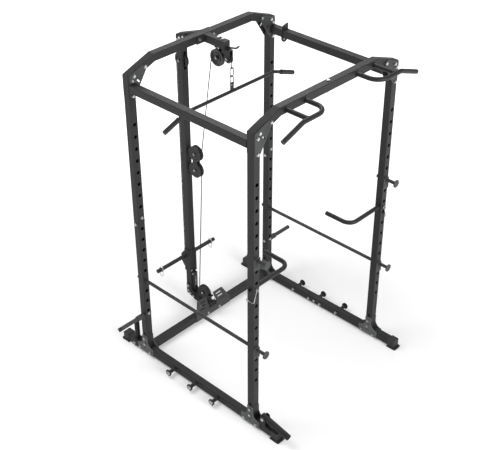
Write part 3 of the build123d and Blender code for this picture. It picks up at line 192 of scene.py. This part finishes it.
def powder_coat(name, colour, rough, end_cap=None):
    """Fine-textured powder coat, paler on rubbed edges and under dust, with plastic past end_cap in x."""
    dust_share, dust_tone = 0.22, 3.0
    worn_share, worn_tone = 0.45, 3.6
    rough_spread = 0.08
    made, tree, surface, node = shader(name, Specular_IOR_Level=0.2)
    place = node("TexCoord", {}).outputs["Object"]
    cloudy = noise(node, place, scale=6.0)
    grain = noise(node, place, scale=1500.0, detail=2.0)
    peel = noise(node, place, scale=420.0, detail=3.0)
    base = ramp(node, cloudy, (0.3, shade(colour, 0.88)), (0.7, shade(colour, 1.12)))
    speckle = ramp(node, grain, (0.38, (0.80, 0.80, 0.80)), (0.66, (1.0, 1.0, 1.0)))
    base = mixed(node, 1.0, base, speckle, "MULTIPLY")
    dusty = times(node, settled_dust(node, place), dust_share)
    base = mixed(node, dusty, base, (*shade(colour, dust_tone), 1))
    worn = times(node, rubbed_edges(node, place), worn_share)
    base = mixed(node, worn, base, (*shade(colour, worn_tone), 1))
    gloss = ranged(node, peel, low=rough - rough_spread, high=rough + rough_spread)
    if end_cap:
        across = node("SeparateXYZ", {0: place}).outputs["X"]
        reach = node("Math", {0: across}, operation="ABSOLUTE").outputs[0]
        capped = node("Math", {0: reach, 1: end_cap}, operation="GREATER_THAN").outputs[0]
        moulding = ramp(node, peel, (0.35, (0.010, 0.010, 0.010)), (0.7, (0.018, 0.018, 0.019)))
        base = mixed(node, capped, base, moulding)
    tree.links.new(base, surface.inputs["Base Color"])
    tree.links.new(gloss, surface.inputs["Roughness"])
    bumps(tree, node, surface, (peel, 0.0006, 0.22), (grain, 0.0003, 0.30))
    return made


def bright_metal(name, colour, rough, streak=(1, 1, 1), dark_at=()):
    """Zinc or drawn steel with a mottled bloom, fine marks and stains, darker round places in y and z."""
    darker_tone = (0.20, 0.20, 0.20, 1)
    dark_reach, dark_end = 0.014, 0.018
    made, tree, surface, node = shader(name, Metallic=1.0)
    place = node("TexCoord", {}).outputs["Object"]
    bloom = node("TexVoronoi", {"Vector": place, "Scale": 300.0}).outputs["Distance"]
    marks = noise(node, place, scale=900.0, detail=3.0, stretch=streak)
    stain = noise(node, place, scale=60.0, detail=5.0)
    base = ramp(node, stain, (0.32, shade(colour, 0.74)), (0.58, colour))
    flat = node("VectorMath", {0: place, 1: (0, 1, 1)}, operation="MULTIPLY").outputs[0]
    for spot in dark_at:
        away = node("VectorMath", {0: flat, 1: (0, *spot)}, operation="DISTANCE").outputs["Value"]
        near = ranged(node, away, low=1.0, high=0.0, start=dark_reach, end=dark_end)
        base = mixed(node, near, base, darker_tone)
    tree.links.new(base, surface.inputs["Base Color"])
    tree.links.new(ranged(node, bloom, low=rough - 0.05, high=rough + 0.15), surface.inputs["Roughness"])
    bumps(tree, node, surface, (marks, 0.0002, 0.25))
    return made


def moulded(name, colour, rough, grain_scale, depth):
    """Rubber or plastic with a moulded grain and a little dust in patches."""
    rough_spread = 0.08
    made, tree, surface, node = shader(name)
    place = node("TexCoord", {}).outputs["Object"]
    grain = noise(node, place, scale=grain_scale, detail=3.0)
    pits = node("TexVoronoi", {"Vector": place, "Scale": grain_scale * 0.6}).outputs["Distance"]
    dust = noise(node, place, scale=24.0, detail=6.0)
    dusty = tuple(value * 1.3 + 0.008 for value in colour)
    base = ramp(node, dust, (0.45, colour), (0.85, dusty))
    gloss = ranged(node, grain, low=rough - rough_spread, high=rough + rough_spread)
    tree.links.new(base, surface.inputs["Base Color"])
    tree.links.new(gloss, surface.inputs["Roughness"])
    bumps(tree, node, surface, (pits, depth, 0.3), (grain, depth, 0.3))
    return made


def coated_cable(name, colour):
    """Wire rope in a thin coat, whose strands show through."""
    made, tree, surface, node = shader(name, Specular_IOR_Level=0.2)
    place = node("TexCoord", {}).outputs["Object"]
    leaning = node("Mapping", {"Vector": place, "Rotation": (radians(35), 0, 0)})
    wave = {"Vector": leaning.outputs[0], "Scale": 320.0, "Distortion": 0.4}
    strands = node("TexWave", wave).outputs["Fac"]
    rubbed = noise(node, place, scale=90.0, detail=4.0)
    base = ramp(node, strands, (0.2, shade(colour, 0.6)), (0.8, colour))
    tree.links.new(base, surface.inputs["Base Color"])
    tree.links.new(ranged(node, rubbed, low=0.32, high=0.5), surface.inputs["Roughness"])
    bumps(tree, node, surface, (strands, 0.0004, 0.4))
    return made


# Colours, and the places in metres where end caps begin and pulley bolts lie
black = (0.025, 0.025, 0.025)
grey = (0.055, 0.055, 0.055)
grey_green = (0.054, 0.0568, 0.0555)
# A paler copy of the plates' grey-green, painted light for the joint plates at the foot of the frame
plate_green_painted_light = (0.125, 0.130, 0.128)
zinc_grey = (0.50, 0.51, 0.52)
chain_grey = (0.14, 0.14, 0.14)
steel_grey = (0.46, 0.47, 0.48)
rubber_black = (0.016, 0.016, 0.017)
nylon_black = (0.017, 0.017, 0.018)
cable_black = (0.016, 0.016, 0.016)
off_white = (0.78, 0.78, 0.76)
carriage_cap_x = 0.264
horn_cap_x = 0.8226
pulley_bolts = [(y * mm, z * mm) for y, z in pulleys.values()]

# The paints, and the slot of each paint that a piece below wears
paints = {
    "frame": powder_coat("black_powder_coat", black, rough=0.50),
    "bar": powder_coat("black_bar_paint", shade(black, 0.95), rough=0.44),
    "carriage": powder_coat("carriage_powder_coat", black, rough=0.50, end_cap=carriage_cap_x),
    "plate": powder_coat("grey_powder_coat", grey_green, rough=0.50),
    # The joint plates at the foot wear the paler copy of the plate paint: painted light
    "joint": powder_coat("joint_plate_painted_light_coat", plate_green_painted_light, rough=0.50),
    "sheet": powder_coat("sheet_plate_coat", grey, rough=0.52),
    "horn": powder_coat("horn_powder_coat", grey_green, rough=0.46, end_cap=horn_cap_x),
    "zinc": bright_metal("bright_zinc", zinc_grey, rough=0.30, dark_at=pulley_bolts),
    "chain": bright_metal("galvanised_chain", chain_grey, rough=0.36),
    "steel": bright_metal("drawn_steel", steel_grey, rough=0.26, streak=(1, 1, 0.1)),
    "rubber": moulded("black_rubber", rubber_black, rough=0.66, grain_scale=700.0, depth=0.0006),
    "plastic": moulded("black_nylon", nylon_black, rough=0.46, grain_scale=1100.0, depth=0.0003),
    "ball": moulded("white_plastic", off_white, rough=0.38, grain_scale=900.0, depth=0.0002),
    "cable": coated_cable("coated_wire_rope", cable_black),
}

# Which paint a solid wears, by the longest start of its name given here; the rest wear the frame's
wears = {
    "plate": ("safety_bar", "j_hook", "top_corner"),
    "joint": ("base_joint",),
    "sheet": ("footplate",),
    "horn": ("plate_horns",),
    "carriage": ("weight_carriage",),
    "zinc": ("frame_bolts", "frame_nuts", "pivot_bolt", "spring_collar"),
    "steel": ("pin_bail", "lock_pin"),
    "chain": ("lat_chain",),
    "rubber": ("foot_caps", "lat_bar_grips", "carriage_stop"),
    "plastic": ("pulley_", "bar_end_caps"),
    "ball": ("low_cable_ball",),
    "cable": ("lat_cable", "low_cable"),
    "bar": ("pull_up_grips", "dip_bars", "lat_bar", "band_pegs", "pivot_tube", "carabiner"),
}
paint_by_start = {start: paint for paint, starts in wears.items() for start in starts}
for name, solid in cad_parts.items():
    fitting = [start for start in paint_by_start if name.startswith(start)]
    paint = paint_by_start[max(fitting, key=len)] if fitting else "frame"
    if not solid.material_slots:
        solid.data.materials.append(None)
    for place in solid.material_slots:
        place.material = paints[paint]


def piece(name, shape, paint, body=None, sharp=35):
    """A mesh piece from points in millimetres and faces, which moves with a body.

    Edges that turn by more than sharp, in degrees, stay sharp.
    """
    points, faces = shape
    mesh = bpy.data.meshes.new(name)
    mesh.from_pydata([tuple(point * mm) for point in points], [], faces)
    mesh.validate()
    mesh.shade_smooth()
    mesh.set_sharp_from_angle(angle=radians(sharp))
    mesh.materials.append(paints[paint])
    made = bpy.data.objects.new(name, mesh)
    bpy.context.collection.objects.link(made)
    if body:
        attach(made, body)
    return made


def skin(rings, closed=False):
    """A surface over rings of equal count, capped at its ends unless they join."""
    count = len(rings[0])
    points = [point for row in rings for point in row]
    faces = []
    for i in range(len(rings) if closed else len(rings) - 1):
        here, there = i * count, (i + 1) % len(rings) * count
        for k in range(count):
            after = (k + 1) % count
            faces.append((here + k, here + after, there + after, there + k))
    if not closed:
        faces.append(tuple(range(count))[::-1])
        faces.append(tuple(range(len(points) - count, len(points))))
    return points, faces


def joined(shapes):
    """Several surfaces as one."""
    points, faces = [], []
    for more_points, more_faces in shapes:
        shift = len(points)
        points += more_points
        faces += [tuple(i + shift for i in face) for face in more_faces]
    return points, faces


def ring(middle, axis, radius, count=36):
    """Points round an axis. A radius may also be a function of the angle."""
    axis = Vector(axis).normalized()
    first = axis.orthogonal().normalized()
    second = axis.cross(first)
    spots = []
    for k in range(count):
        angle = 2 * pi * k / count
        reach = radius(angle) if callable(radius) else radius
        spots.append(Vector(middle) + (first * cos(angle) + second * sin(angle)) * reach)
    return spots


def turned(profile, middle, axis, count=36):
    """A profile of places along an axis and radii, turned about it."""
    way = Vector(axis).normalized()
    return skin([ring(Vector(middle) + way * far, way, radius, count) for far, radius in profile])


def ridge(middle, axis, height, inner, outer, ease=0.6):
    """A flat ring that stands on a face, with its edges eased."""
    top = Vector(middle) + Vector(axis) * height
    steps = [(middle, inner), (top, inner + ease), (top, outer - ease), (middle, outer)]
    return skin([ring(level, axis, reach, count=48) for level, reach in steps], closed=True)


def bead(path, normal, thick, ripple=0.16, count=8):
    """A weld bead with its ripples along a closed path in or near a plane."""
    normal = Vector(normal)
    rings = []
    for i, spot in enumerate(path):
        way = (path[(i + 1) % len(path)] - path[i - 1]).normalized()
        across = normal.cross(way).normalized()
        rise = way.cross(across)
        size = thick * (1 + ripple * sin(i * pi / 2))
        angles = [2 * pi * k / count for k in range(count)]
        rings.append([spot + (across * cos(angle) + rise * sin(angle)) * size for angle in angles])
    return skin(rings, closed=True)


def round_path(middle, axis, radius, step=0.8):
    """Close points round a circle, a multiple of four so that the ripples meet."""
    count = 4 * int(2 * pi * radius / step / 4)
    return ring(middle, axis, radius, count)


def box_path(corners, step=0.8):
    """Close points along a closed run of straight lines."""
    path = []
    for start, end in zip(corners, corners[1:] + corners[:1]):
        run = Vector(end) - Vector(start)
        count = 4 * int(run.length / step / 4)
        path += [Vector(start) + run * k / count for k in range(count)]
    return path


def across_tube(y, low, high):
    """Corners round a square tube that runs along Y."""
    return [(-tube_half, y, low), (tube_half, y, low), (tube_half, y, high), (-tube_half, y, high)]


def hexagon(apothem):
    """The radius of a hexagon at an angle."""
    return lambda angle: apothem / cos((angle % (pi / 3)) - pi / 6)


def stacked(steps, middle, axis, height):
    """A closed surface over steps along an axis, each a share of the height and a radius."""
    way = Vector(axis).normalized()
    return skin([ring(Vector(middle) + way * height * rise, way, reach) for rise, reach in steps])


def button_head(middle, axis, radius, height, socket):
    """A domed screw head with a hexagon socket."""
    dome = ((0, 1), (0.35, 1), (0.7, 0.94), (0.92, 0.8), (1, 0.62))
    steps = [(rise, share * radius) for rise, share in dome]
    steps += [(rise, hexagon(socket)) for rise in (1, 0.3)]
    return stacked(steps, middle, axis, height)


def hex_head(middle, axis, apothem, height, flange):
    """A flanged hexagon head with a chamfered top."""
    steps = [(0, flange), (0.2, flange)]
    steps += [(0.26, hexagon(apothem)), (0.9, hexagon(apothem)), (1, 0.92 * apothem)]
    return stacked(steps, middle, axis, height)


def rope(start, end, radius, step, lay=26.0, strands=6, groove=0.03, count=24):
    """A straight run of coated rope, whose strands stand out a little."""
    start, end = Vector(start), Vector(end)
    run = end - start
    rings = []
    total = int(run.length / step)
    for i in range(total + 1):
        turn = 2 * pi * i * step / lay

        def lobed(angle):
            return radius * (1 - groove + groove * cos(strands * (angle - turn)))

        rings.append(ring(start + run * i / total, run, lobed, count))
    return skin(rings)


# The cable's two runs that change length: one shrinks as the carriage rises, one grows as the bar comes down
rope_sharp = 80
lift_step, drop_step = 2.5, 0.5
lift_low, lift_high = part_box("lat_cable_lift")
lift_y = (lift_low.y + lift_high.y) / 2
lift_ends = [(0, lift_y / mm, z / mm) for z in (lift_low.z, lift_high.z)]
lift_run = rope(*lift_ends, cable_radius, lift_step)
lift_rope = piece("lat_rope_lift", lift_run, "cable", "frame", sharp=rope_sharp)
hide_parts("lat_cable_lift")
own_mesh(lift_rope)

drop_low, drop_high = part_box("lat_cable_drop")
drop_y = (drop_low.y + drop_high.y) / 2
drop_ends = [(0, drop_y / mm, z / mm) for z in (drop_high.z, drop_low.z)]
drop_run = rope(*drop_ends, cable_radius, drop_step)
drop_rope = piece("lat_rope_drop", drop_run, "cable", sharp=rope_sharp)
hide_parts("lat_cable_drop")
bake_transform(drop_rope)

# Weld beads at the pull-up grips: two legs on the beam, and the outer leg on the bar across it
large_bead, small_bead, horn_bead, saddle_bead = 2.2, 1.8, 1.6, 1.9
grip_z, grip_y, grip_radius = 2140, -676, 14
grip_inner_x, grip_outer_x = 222, 376
beam_gap, bar_gap = 0.2, 0.6
frame_welds = []
for side in sides:
    for leg_x in (grip_inner_x, grip_outer_x):
        root = (side * leg_x, -outer_y - beam_gap, grip_z)
        frame_welds.append(bead(round_path(root, along_y, grip_radius), along_y, large_bead))
    saddle = round_path((side * grip_outer_x, 0, grip_z), along_y, grip_radius)
    for spot in saddle:
        bulge = sqrt(max(0.0, grip_radius**2 - (spot.z - grip_z) ** 2))
        spot.y = grip_y + bulge + bar_gap
    frame_welds.append(bead(saddle, along_y, large_bead))

# Weld beads round the tower's arms at their flanges, each with its y, low and high, and round the bar holder
tower_flange_y, front_flange_y = 522.4, 461.6
arm_welds = {
    "foot arm": (tower_flange_y, 15.0, 68.1),
    "top arm": (tower_flange_y, 2109.9, 2163.0),
    "front arm": (front_flange_y, 2115.2, 2164.8),
}
for y, low, high in arm_welds.values():
    frame_welds.append(bead(box_path(across_tube(y, low, high)), along_y, large_bead))
holder_foot, holder_radius = (-upright_x, 600, 68.4), 18
frame_welds.append(bead(round_path(holder_foot, along_z, holder_radius), along_z, large_bead))
piece("frame_weld_beads", joined(frame_welds), "frame", "frame")

# Weld beads of the plate horns
horn_face_x, horn_z, horn_radius = 678.2, 332, 14.2
horn_welds = []
for side in sides:
    horn_root = (side * horn_face_x, upright_y, horn_z)
    horn_welds.append(bead(round_path(horn_root, along_x, horn_radius), along_x, horn_bead))
piece("horn_weld_beads", joined(horn_welds), "plate", "frame")

# Weld beads of the bars pushed into the uprights, each with its height and the back of its disc
pushed_radius, tab_front = 11, -522.3
pushed_bars = {"safety": (623, -593), "hook": (1279, -594)}
for side, word in zip(sides, ("left", "right")):
    for kind, (level, disc_back) in pushed_bars.items():
        roots = [(side * upright_x, y, level) for y in (tab_front, disc_back)]
        beads = [bead(round_path(root, along_y, pushed_radius), along_y, small_bead) for root in roots]
        piece(f"{kind}_{word}_weld_beads", joined(beads), "plate", f"{kind}_{word}")

# Weld bead round the foot of the lat bar's tab
tab_half_width, tab_half_depth, tab_foot = 14, 2.5, lat_z + 10.7
tab_path = box_path([
    (-tab_half_width, lat_y - tab_half_depth, tab_foot),
    (tab_half_width, lat_y - tab_half_depth, tab_foot),
    (tab_half_width, lat_y + tab_half_depth, tab_foot),
    (-tab_half_width, lat_y + tab_half_depth, tab_foot),
])
piece("lat_tab_weld_bead", bead(tab_path, along_z, small_bead), "bar", "lat_handle")

# Weld beads where the weight bar leaves the carriage's saddle
saddle_x, weight_bar_y, weight_bar_z, weight_bar_radius = 30.6, 729.5, 388, 14
saddle_welds = []
for side in sides:
    saddle_side = (side * saddle_x, weight_bar_y, weight_bar_z)
    saddle_welds.append(bead(round_path(saddle_side, along_x, weight_bar_radius), along_x, saddle_bead))
piece("saddle_weld_beads", joined(saddle_welds), "frame", "carriage")

# Bright screws in the ends of the band pegs
peg_face_x, peg_z, peg_spacing = 684.3, 38, 202
peg_screws = []
for side in sides:
    for step in (-1, 0, 1):
        peg_end = (side * peg_face_x, step * peg_spacing, peg_z)
        peg_screws.append(button_head(peg_end, (side, 0, 0), radius=15, height=4, socket=4.5))
piece("band_peg_screws", joined(peg_screws), "steel", "frame")

# A screw near the top of the carriage stop, one above it in the sleeve, and pale studs down the stop's front
stop_screw_place = (-12.9, 651, 266)
sleeve_screw_place = (-22, 654.7, 300)
stud_x, stud_y, stud_low, stud_pitch, stud_count = -5, 633.2, 175, 12, 7
stop_screw = hex_head(stop_screw_place, (-1, 0, 0), apothem=5.6, height=5, flange=7.5)
piece("carriage_stop_screw", stop_screw, "zinc", "frame")
sleeve_screw = hex_head(sleeve_screw_place, (0, -1, 0), apothem=5.6, height=5, flange=7)
piece("carriage_sleeve_screw", sleeve_screw, "zinc", "carriage")
stop_studs = []
for k in range(stud_count):
    stud_place = (stud_x, stud_y, stud_low + stud_pitch * k)
    stop_studs.append(button_head(stud_place, (0, -1, 0), radius=3, height=1.6, socket=1.1))
piece("carriage_stop_studs", joined(stop_studs), "ball", "frame")

# Nylon liner that stands out of the carriage's sleeve
liner_inner, liner_outer, liner_low, liner_high = 25.3, 29.4, 469.9, 473.4
inner_corner, outer_corner, liner_ease = 4.2, 3, 1


def rounded_square(reach, corner, z, count=6):
    """Points round a square with rounded corners about the mast."""
    spots = []
    for quarter in range(4):
        for k in range(count + 1):
            angle = (quarter + k / count) * pi / 2
            middle = [(1, 1), (-1, 1), (-1, -1), (1, -1)][quarter]
            x = middle[0] * (reach - corner) + corner * cos(angle)
            y = middle[1] * (reach - corner) + corner * sin(angle)
            spots.append(Vector((x, mast_y + y, z)))
    return spots


liner = [
    rounded_square(liner_inner, inner_corner, liner_low),
    rounded_square(liner_outer, outer_corner, liner_low),
    rounded_square(liner_outer, outer_corner, liner_high - liner_ease),
    rounded_square(liner_outer - liner_ease, outer_corner, liner_high),
    rounded_square(liner_inner, inner_corner, liner_high),
]
piece("carriage_sleeve_liner", skin(liner, closed=True), "plastic", "carriage")


# Crimped ferrules where the lat cable ends, in shares of their length and radius, with two pressed waists
crimps = [
    (0, 0.8),
    (0.06, 1),
    (0.3, 1),
    (0.36, 0.9),
    (0.42, 1),
    (0.6, 1),
    (0.66, 0.9),
    (0.72, 1),
    (0.94, 1),
    (1, 0.8),
]


def crimped(length, radius):
    """The profile of a ferrule of this length and radius."""
    return [(length * rise, radius * reach) for rise, reach in crimps]


lug_place, eye_place = (0, 740, 415.1), (0, lat_y, 2012.9)
piece("lug_ferrule", turned(crimped(18, 4.8), lug_place, along_z), "steel", "carriage")
piece("eye_ferrule", turned(crimped(6, 3.8), eye_place, along_z), "steel", "lat_handle")

# Nut that closes the carabiner
nut_place, nut_length, nut_ease = (12, 447.5, 107), 14, 1
nut_radius, nut_end_radius = 5.4, 4.2
nut_steps = [
    (0, nut_end_radius),
    (nut_ease, nut_radius),
    (nut_length - nut_ease, nut_radius),
    (nut_length, nut_end_radius),
]
piece("carabiner_nut", turned(nut_steps, nut_place, along_z, count=6), "bar", "clip")

# Rings moulded on both faces of the pulleys, each with its inner and outer radius
web_face_x, band_height = 3.9, 3.4
small_bands, large_bands = [(12.5, 15.5)], [(14, 17), (27, 32)]
for body, (y, z) in pulleys.items():
    bands = small_bands if body == "arm_front_pulley" else large_bands
    bosses = []
    for side in sides:
        for inner, outer in bands:
            bosses.append(ridge((side * web_face_x, y, z), (side, 0, 0), band_height, inner, outer))
    piece(f"{body}_rings", joined(bosses), "plastic", body)

# Pressed rings and dark hub washers on the discs that cover the block's pulleys and the low pulley; the
# rings wear the paler plate paint as a painted highlight on their edges
cover_faces = {"block_upper_pulley": 14.9, "block_lower_pulley": 14.9, "low_pulley": 15.9}
cover_bands, cover_height = [(25, 30), (44, 50)], 1.3
washer_inner, washer_outer, washer_height = 10.4, 17, 1.5
cover_rings_painted_highlight, cover_hubs = [], []
for body, face_x in cover_faces.items():
    for side in sides:
        face = (side * face_x, *pulleys[body])
        for inner, outer in cover_bands:
            cover_rings_painted_highlight.append(ridge(face, (side, 0, 0), cover_height, inner, outer))
        cover_hubs.append(ridge(face, (side, 0, 0), washer_height, washer_inner, washer_outer))
piece("cover_rings_painted_highlight", joined(cover_rings_painted_highlight), "plate", "frame")
piece("cover_hub_washers", joined(cover_hubs), "rubber", "frame")

# Bright ends on the bolts that the pulleys turn on, and on the low one a white cap that is a painted glint
bolt_ends_x = {"arm_rear_pulley": -17.4, "block_upper_pulley": -22.9, "block_lower_pulley": -22.9}
bolt_ends = []
for body, x in bolt_ends_x.items():
    bolt_ends.append(button_head((x, *pulleys[body]), (-1, 0, 0), radius=4, height=2, socket=1.4))
piece("pulley_bolt_ends", joined(bolt_ends), "steel", "frame")
low_bolt_end = (-23.7, *pulleys["low_pulley"])
# A white cap on the low bolt's end, as a painted glint
low_bolt_painted_glint = button_head(low_bolt_end, (-1, 0, 0), radius=5, height=2.4, socket=1.4)
piece("low_pulley_bolt_painted_glint", low_bolt_painted_glint, "ball", "frame")

# Ribbed rubber over the ends of the lat bar: a flange, ribs, and a rounded end
grip_start_x, cover_length = 443, 126.4
rib_start, rib_pitch, plain_length = 8, 4.6, 14
flange_steps = [(0, 14.4), (0.6, 16.4), (5.4, 16.4), (6, 14.5)]
rib_steps = [(0, 14.45), (1, 15.0), (2.6, 15.0), (3.6, 14.45)]
end_steps = [(-4, 14.9), (-1, 14.9), (0.3, 13.6)]
grip_steps = list(flange_steps)
for k in range(int((cover_length - plain_length) / rib_pitch)):
    grip_steps += [(rib_start + k * rib_pitch + far, radius) for far, radius in rib_steps]
grip_steps += [(cover_length + far, radius) for far, radius in end_steps]
grip_covers = []
grip_start_z = lat_z - (grip_start_x - lat_bend_x) * tan(lat_slope)
for side in sides:
    outward = Vector((side * cos(lat_slope), 0, -sin(lat_slope)))
    grip_start = (side * grip_start_x, lat_y, grip_start_z)
    grip_covers.append(turned(grip_steps, grip_start, outward))
piece("lat_grip_covers", joined(grip_covers), "rubber", "lat_handle")

# Pale floor that shows white, and more evenly further from the object and its shadows
floor_reach = 40
floor_tone = (0.88, 0.88, 0.88, 1)
white = (1, 1, 1, 1)
floor_paint, floor_tree, floor_surface, floor_node = shader(
    "pale_floor",
    Roughness=0.9,
    Specular_IOR_Level=0.1,
    Base_Color=floor_tone,
    Emission_Color=white,
)
rays = floor_node("LightPath", {}).outputs
seen_rays = {0: rays["Is Camera Ray"], 1: rays["Is Glossy Ray"]}
seen = floor_node("Math", seen_rays, operation="MAXIMUM").outputs[0]
floor_place = floor_node("TexCoord", {}).outputs["Object"]
floor_distance = floor_node("VectorMath", {0: floor_place}, operation="LENGTH").outputs["Value"]
floor_glow = ranged(floor_node, floor_distance, low=0.2, high=0.9, start=1.0, end=4.0)
floor_tree.links.new(times(floor_node, seen, floor_glow), floor_surface.inputs["Emission Strength"])
floor_mesh = bpy.data.meshes.new("floor")
floor_mesh.from_pydata([
    (-floor_reach, -floor_reach, 0),
    (floor_reach, -floor_reach, 0),
    (floor_reach, floor_reach, 0),
    (-floor_reach, floor_reach, 0),
], [], [(0, 1, 2, 3)])
floor_mesh.materials.append(floor_paint)
floor = bpy.data.objects.new("floor", floor_mesh)
bpy.context.collection.objects.link(floor)

# Even surroundings, which show white to the camera
sky_level, seen_sky_level = 0.40, 1.0
scene = bpy.context.scene
scene.view_settings.view_transform = "Standard"
world = bpy.data.worlds.new("studio")
world.use_nodes = True
scene.world = world
sky = world.node_tree.nodes["Background"]
sky.inputs["Color"].default_value = white
sky_rays = world.node_tree.nodes.new("ShaderNodeLightPath")
level = world.node_tree.nodes.new("ShaderNodeMapRange")
level.inputs["To Min"].default_value = sky_level
level.inputs["To Max"].default_value = seen_sky_level
world.node_tree.links.new(sky_rays.outputs["Is Camera Ray"], level.inputs["Value"])
world.node_tree.links.new(level.outputs["Result"], sky.inputs["Strength"])


def soft_lamp(name, place, aim, size, power):
    """A large square lamp that looks at a point."""
    light = bpy.data.lights.new(name, "AREA")
    light.size = size
    light.energy = power
    lamp = bpy.data.objects.new(name, light)
    lamp.location = place
    lamp.rotation_euler = (Vector(aim) - Vector(place)).to_track_quat("-Z", "Y").to_euler()
    bpy.context.collection.objects.link(lamp)
    return lamp


# A broad lamp overhead that leaves no reflection, one far in front, and one that only gives sheen
main = soft_lamp("main_lamp", place=(-1.6, 2.4, 5.0), aim=(0, 0, 0), size=3.0, power=140)
main.visible_glossy = False
soft_lamp("front_lamp", place=(-0.5, -9, 3.5), aim=(0, 0, 0.8), size=4.0, power=700)
sheen = soft_lamp("sheen_lamp", place=(2.0, 2.0, 4.9), aim=(0, 0, 1.8), size=2.6, power=110)
sheen.visible_diffuse = False

# The camera, as fitted to the photograph
view = bpy.data.cameras.new("photo_camera")
view.sensor_width = sensor_width
view.lens = focal_pixels / picture_width * sensor_width
view.shift_x, view.shift_y = axis_shift
camera = bpy.data.objects.new("photo_camera", view)
camera.location = camera_place
camera.rotation_euler = [radians(angle) for angle in camera_turn]
bpy.context.collection.objects.link(camera)
scene.camera = camera
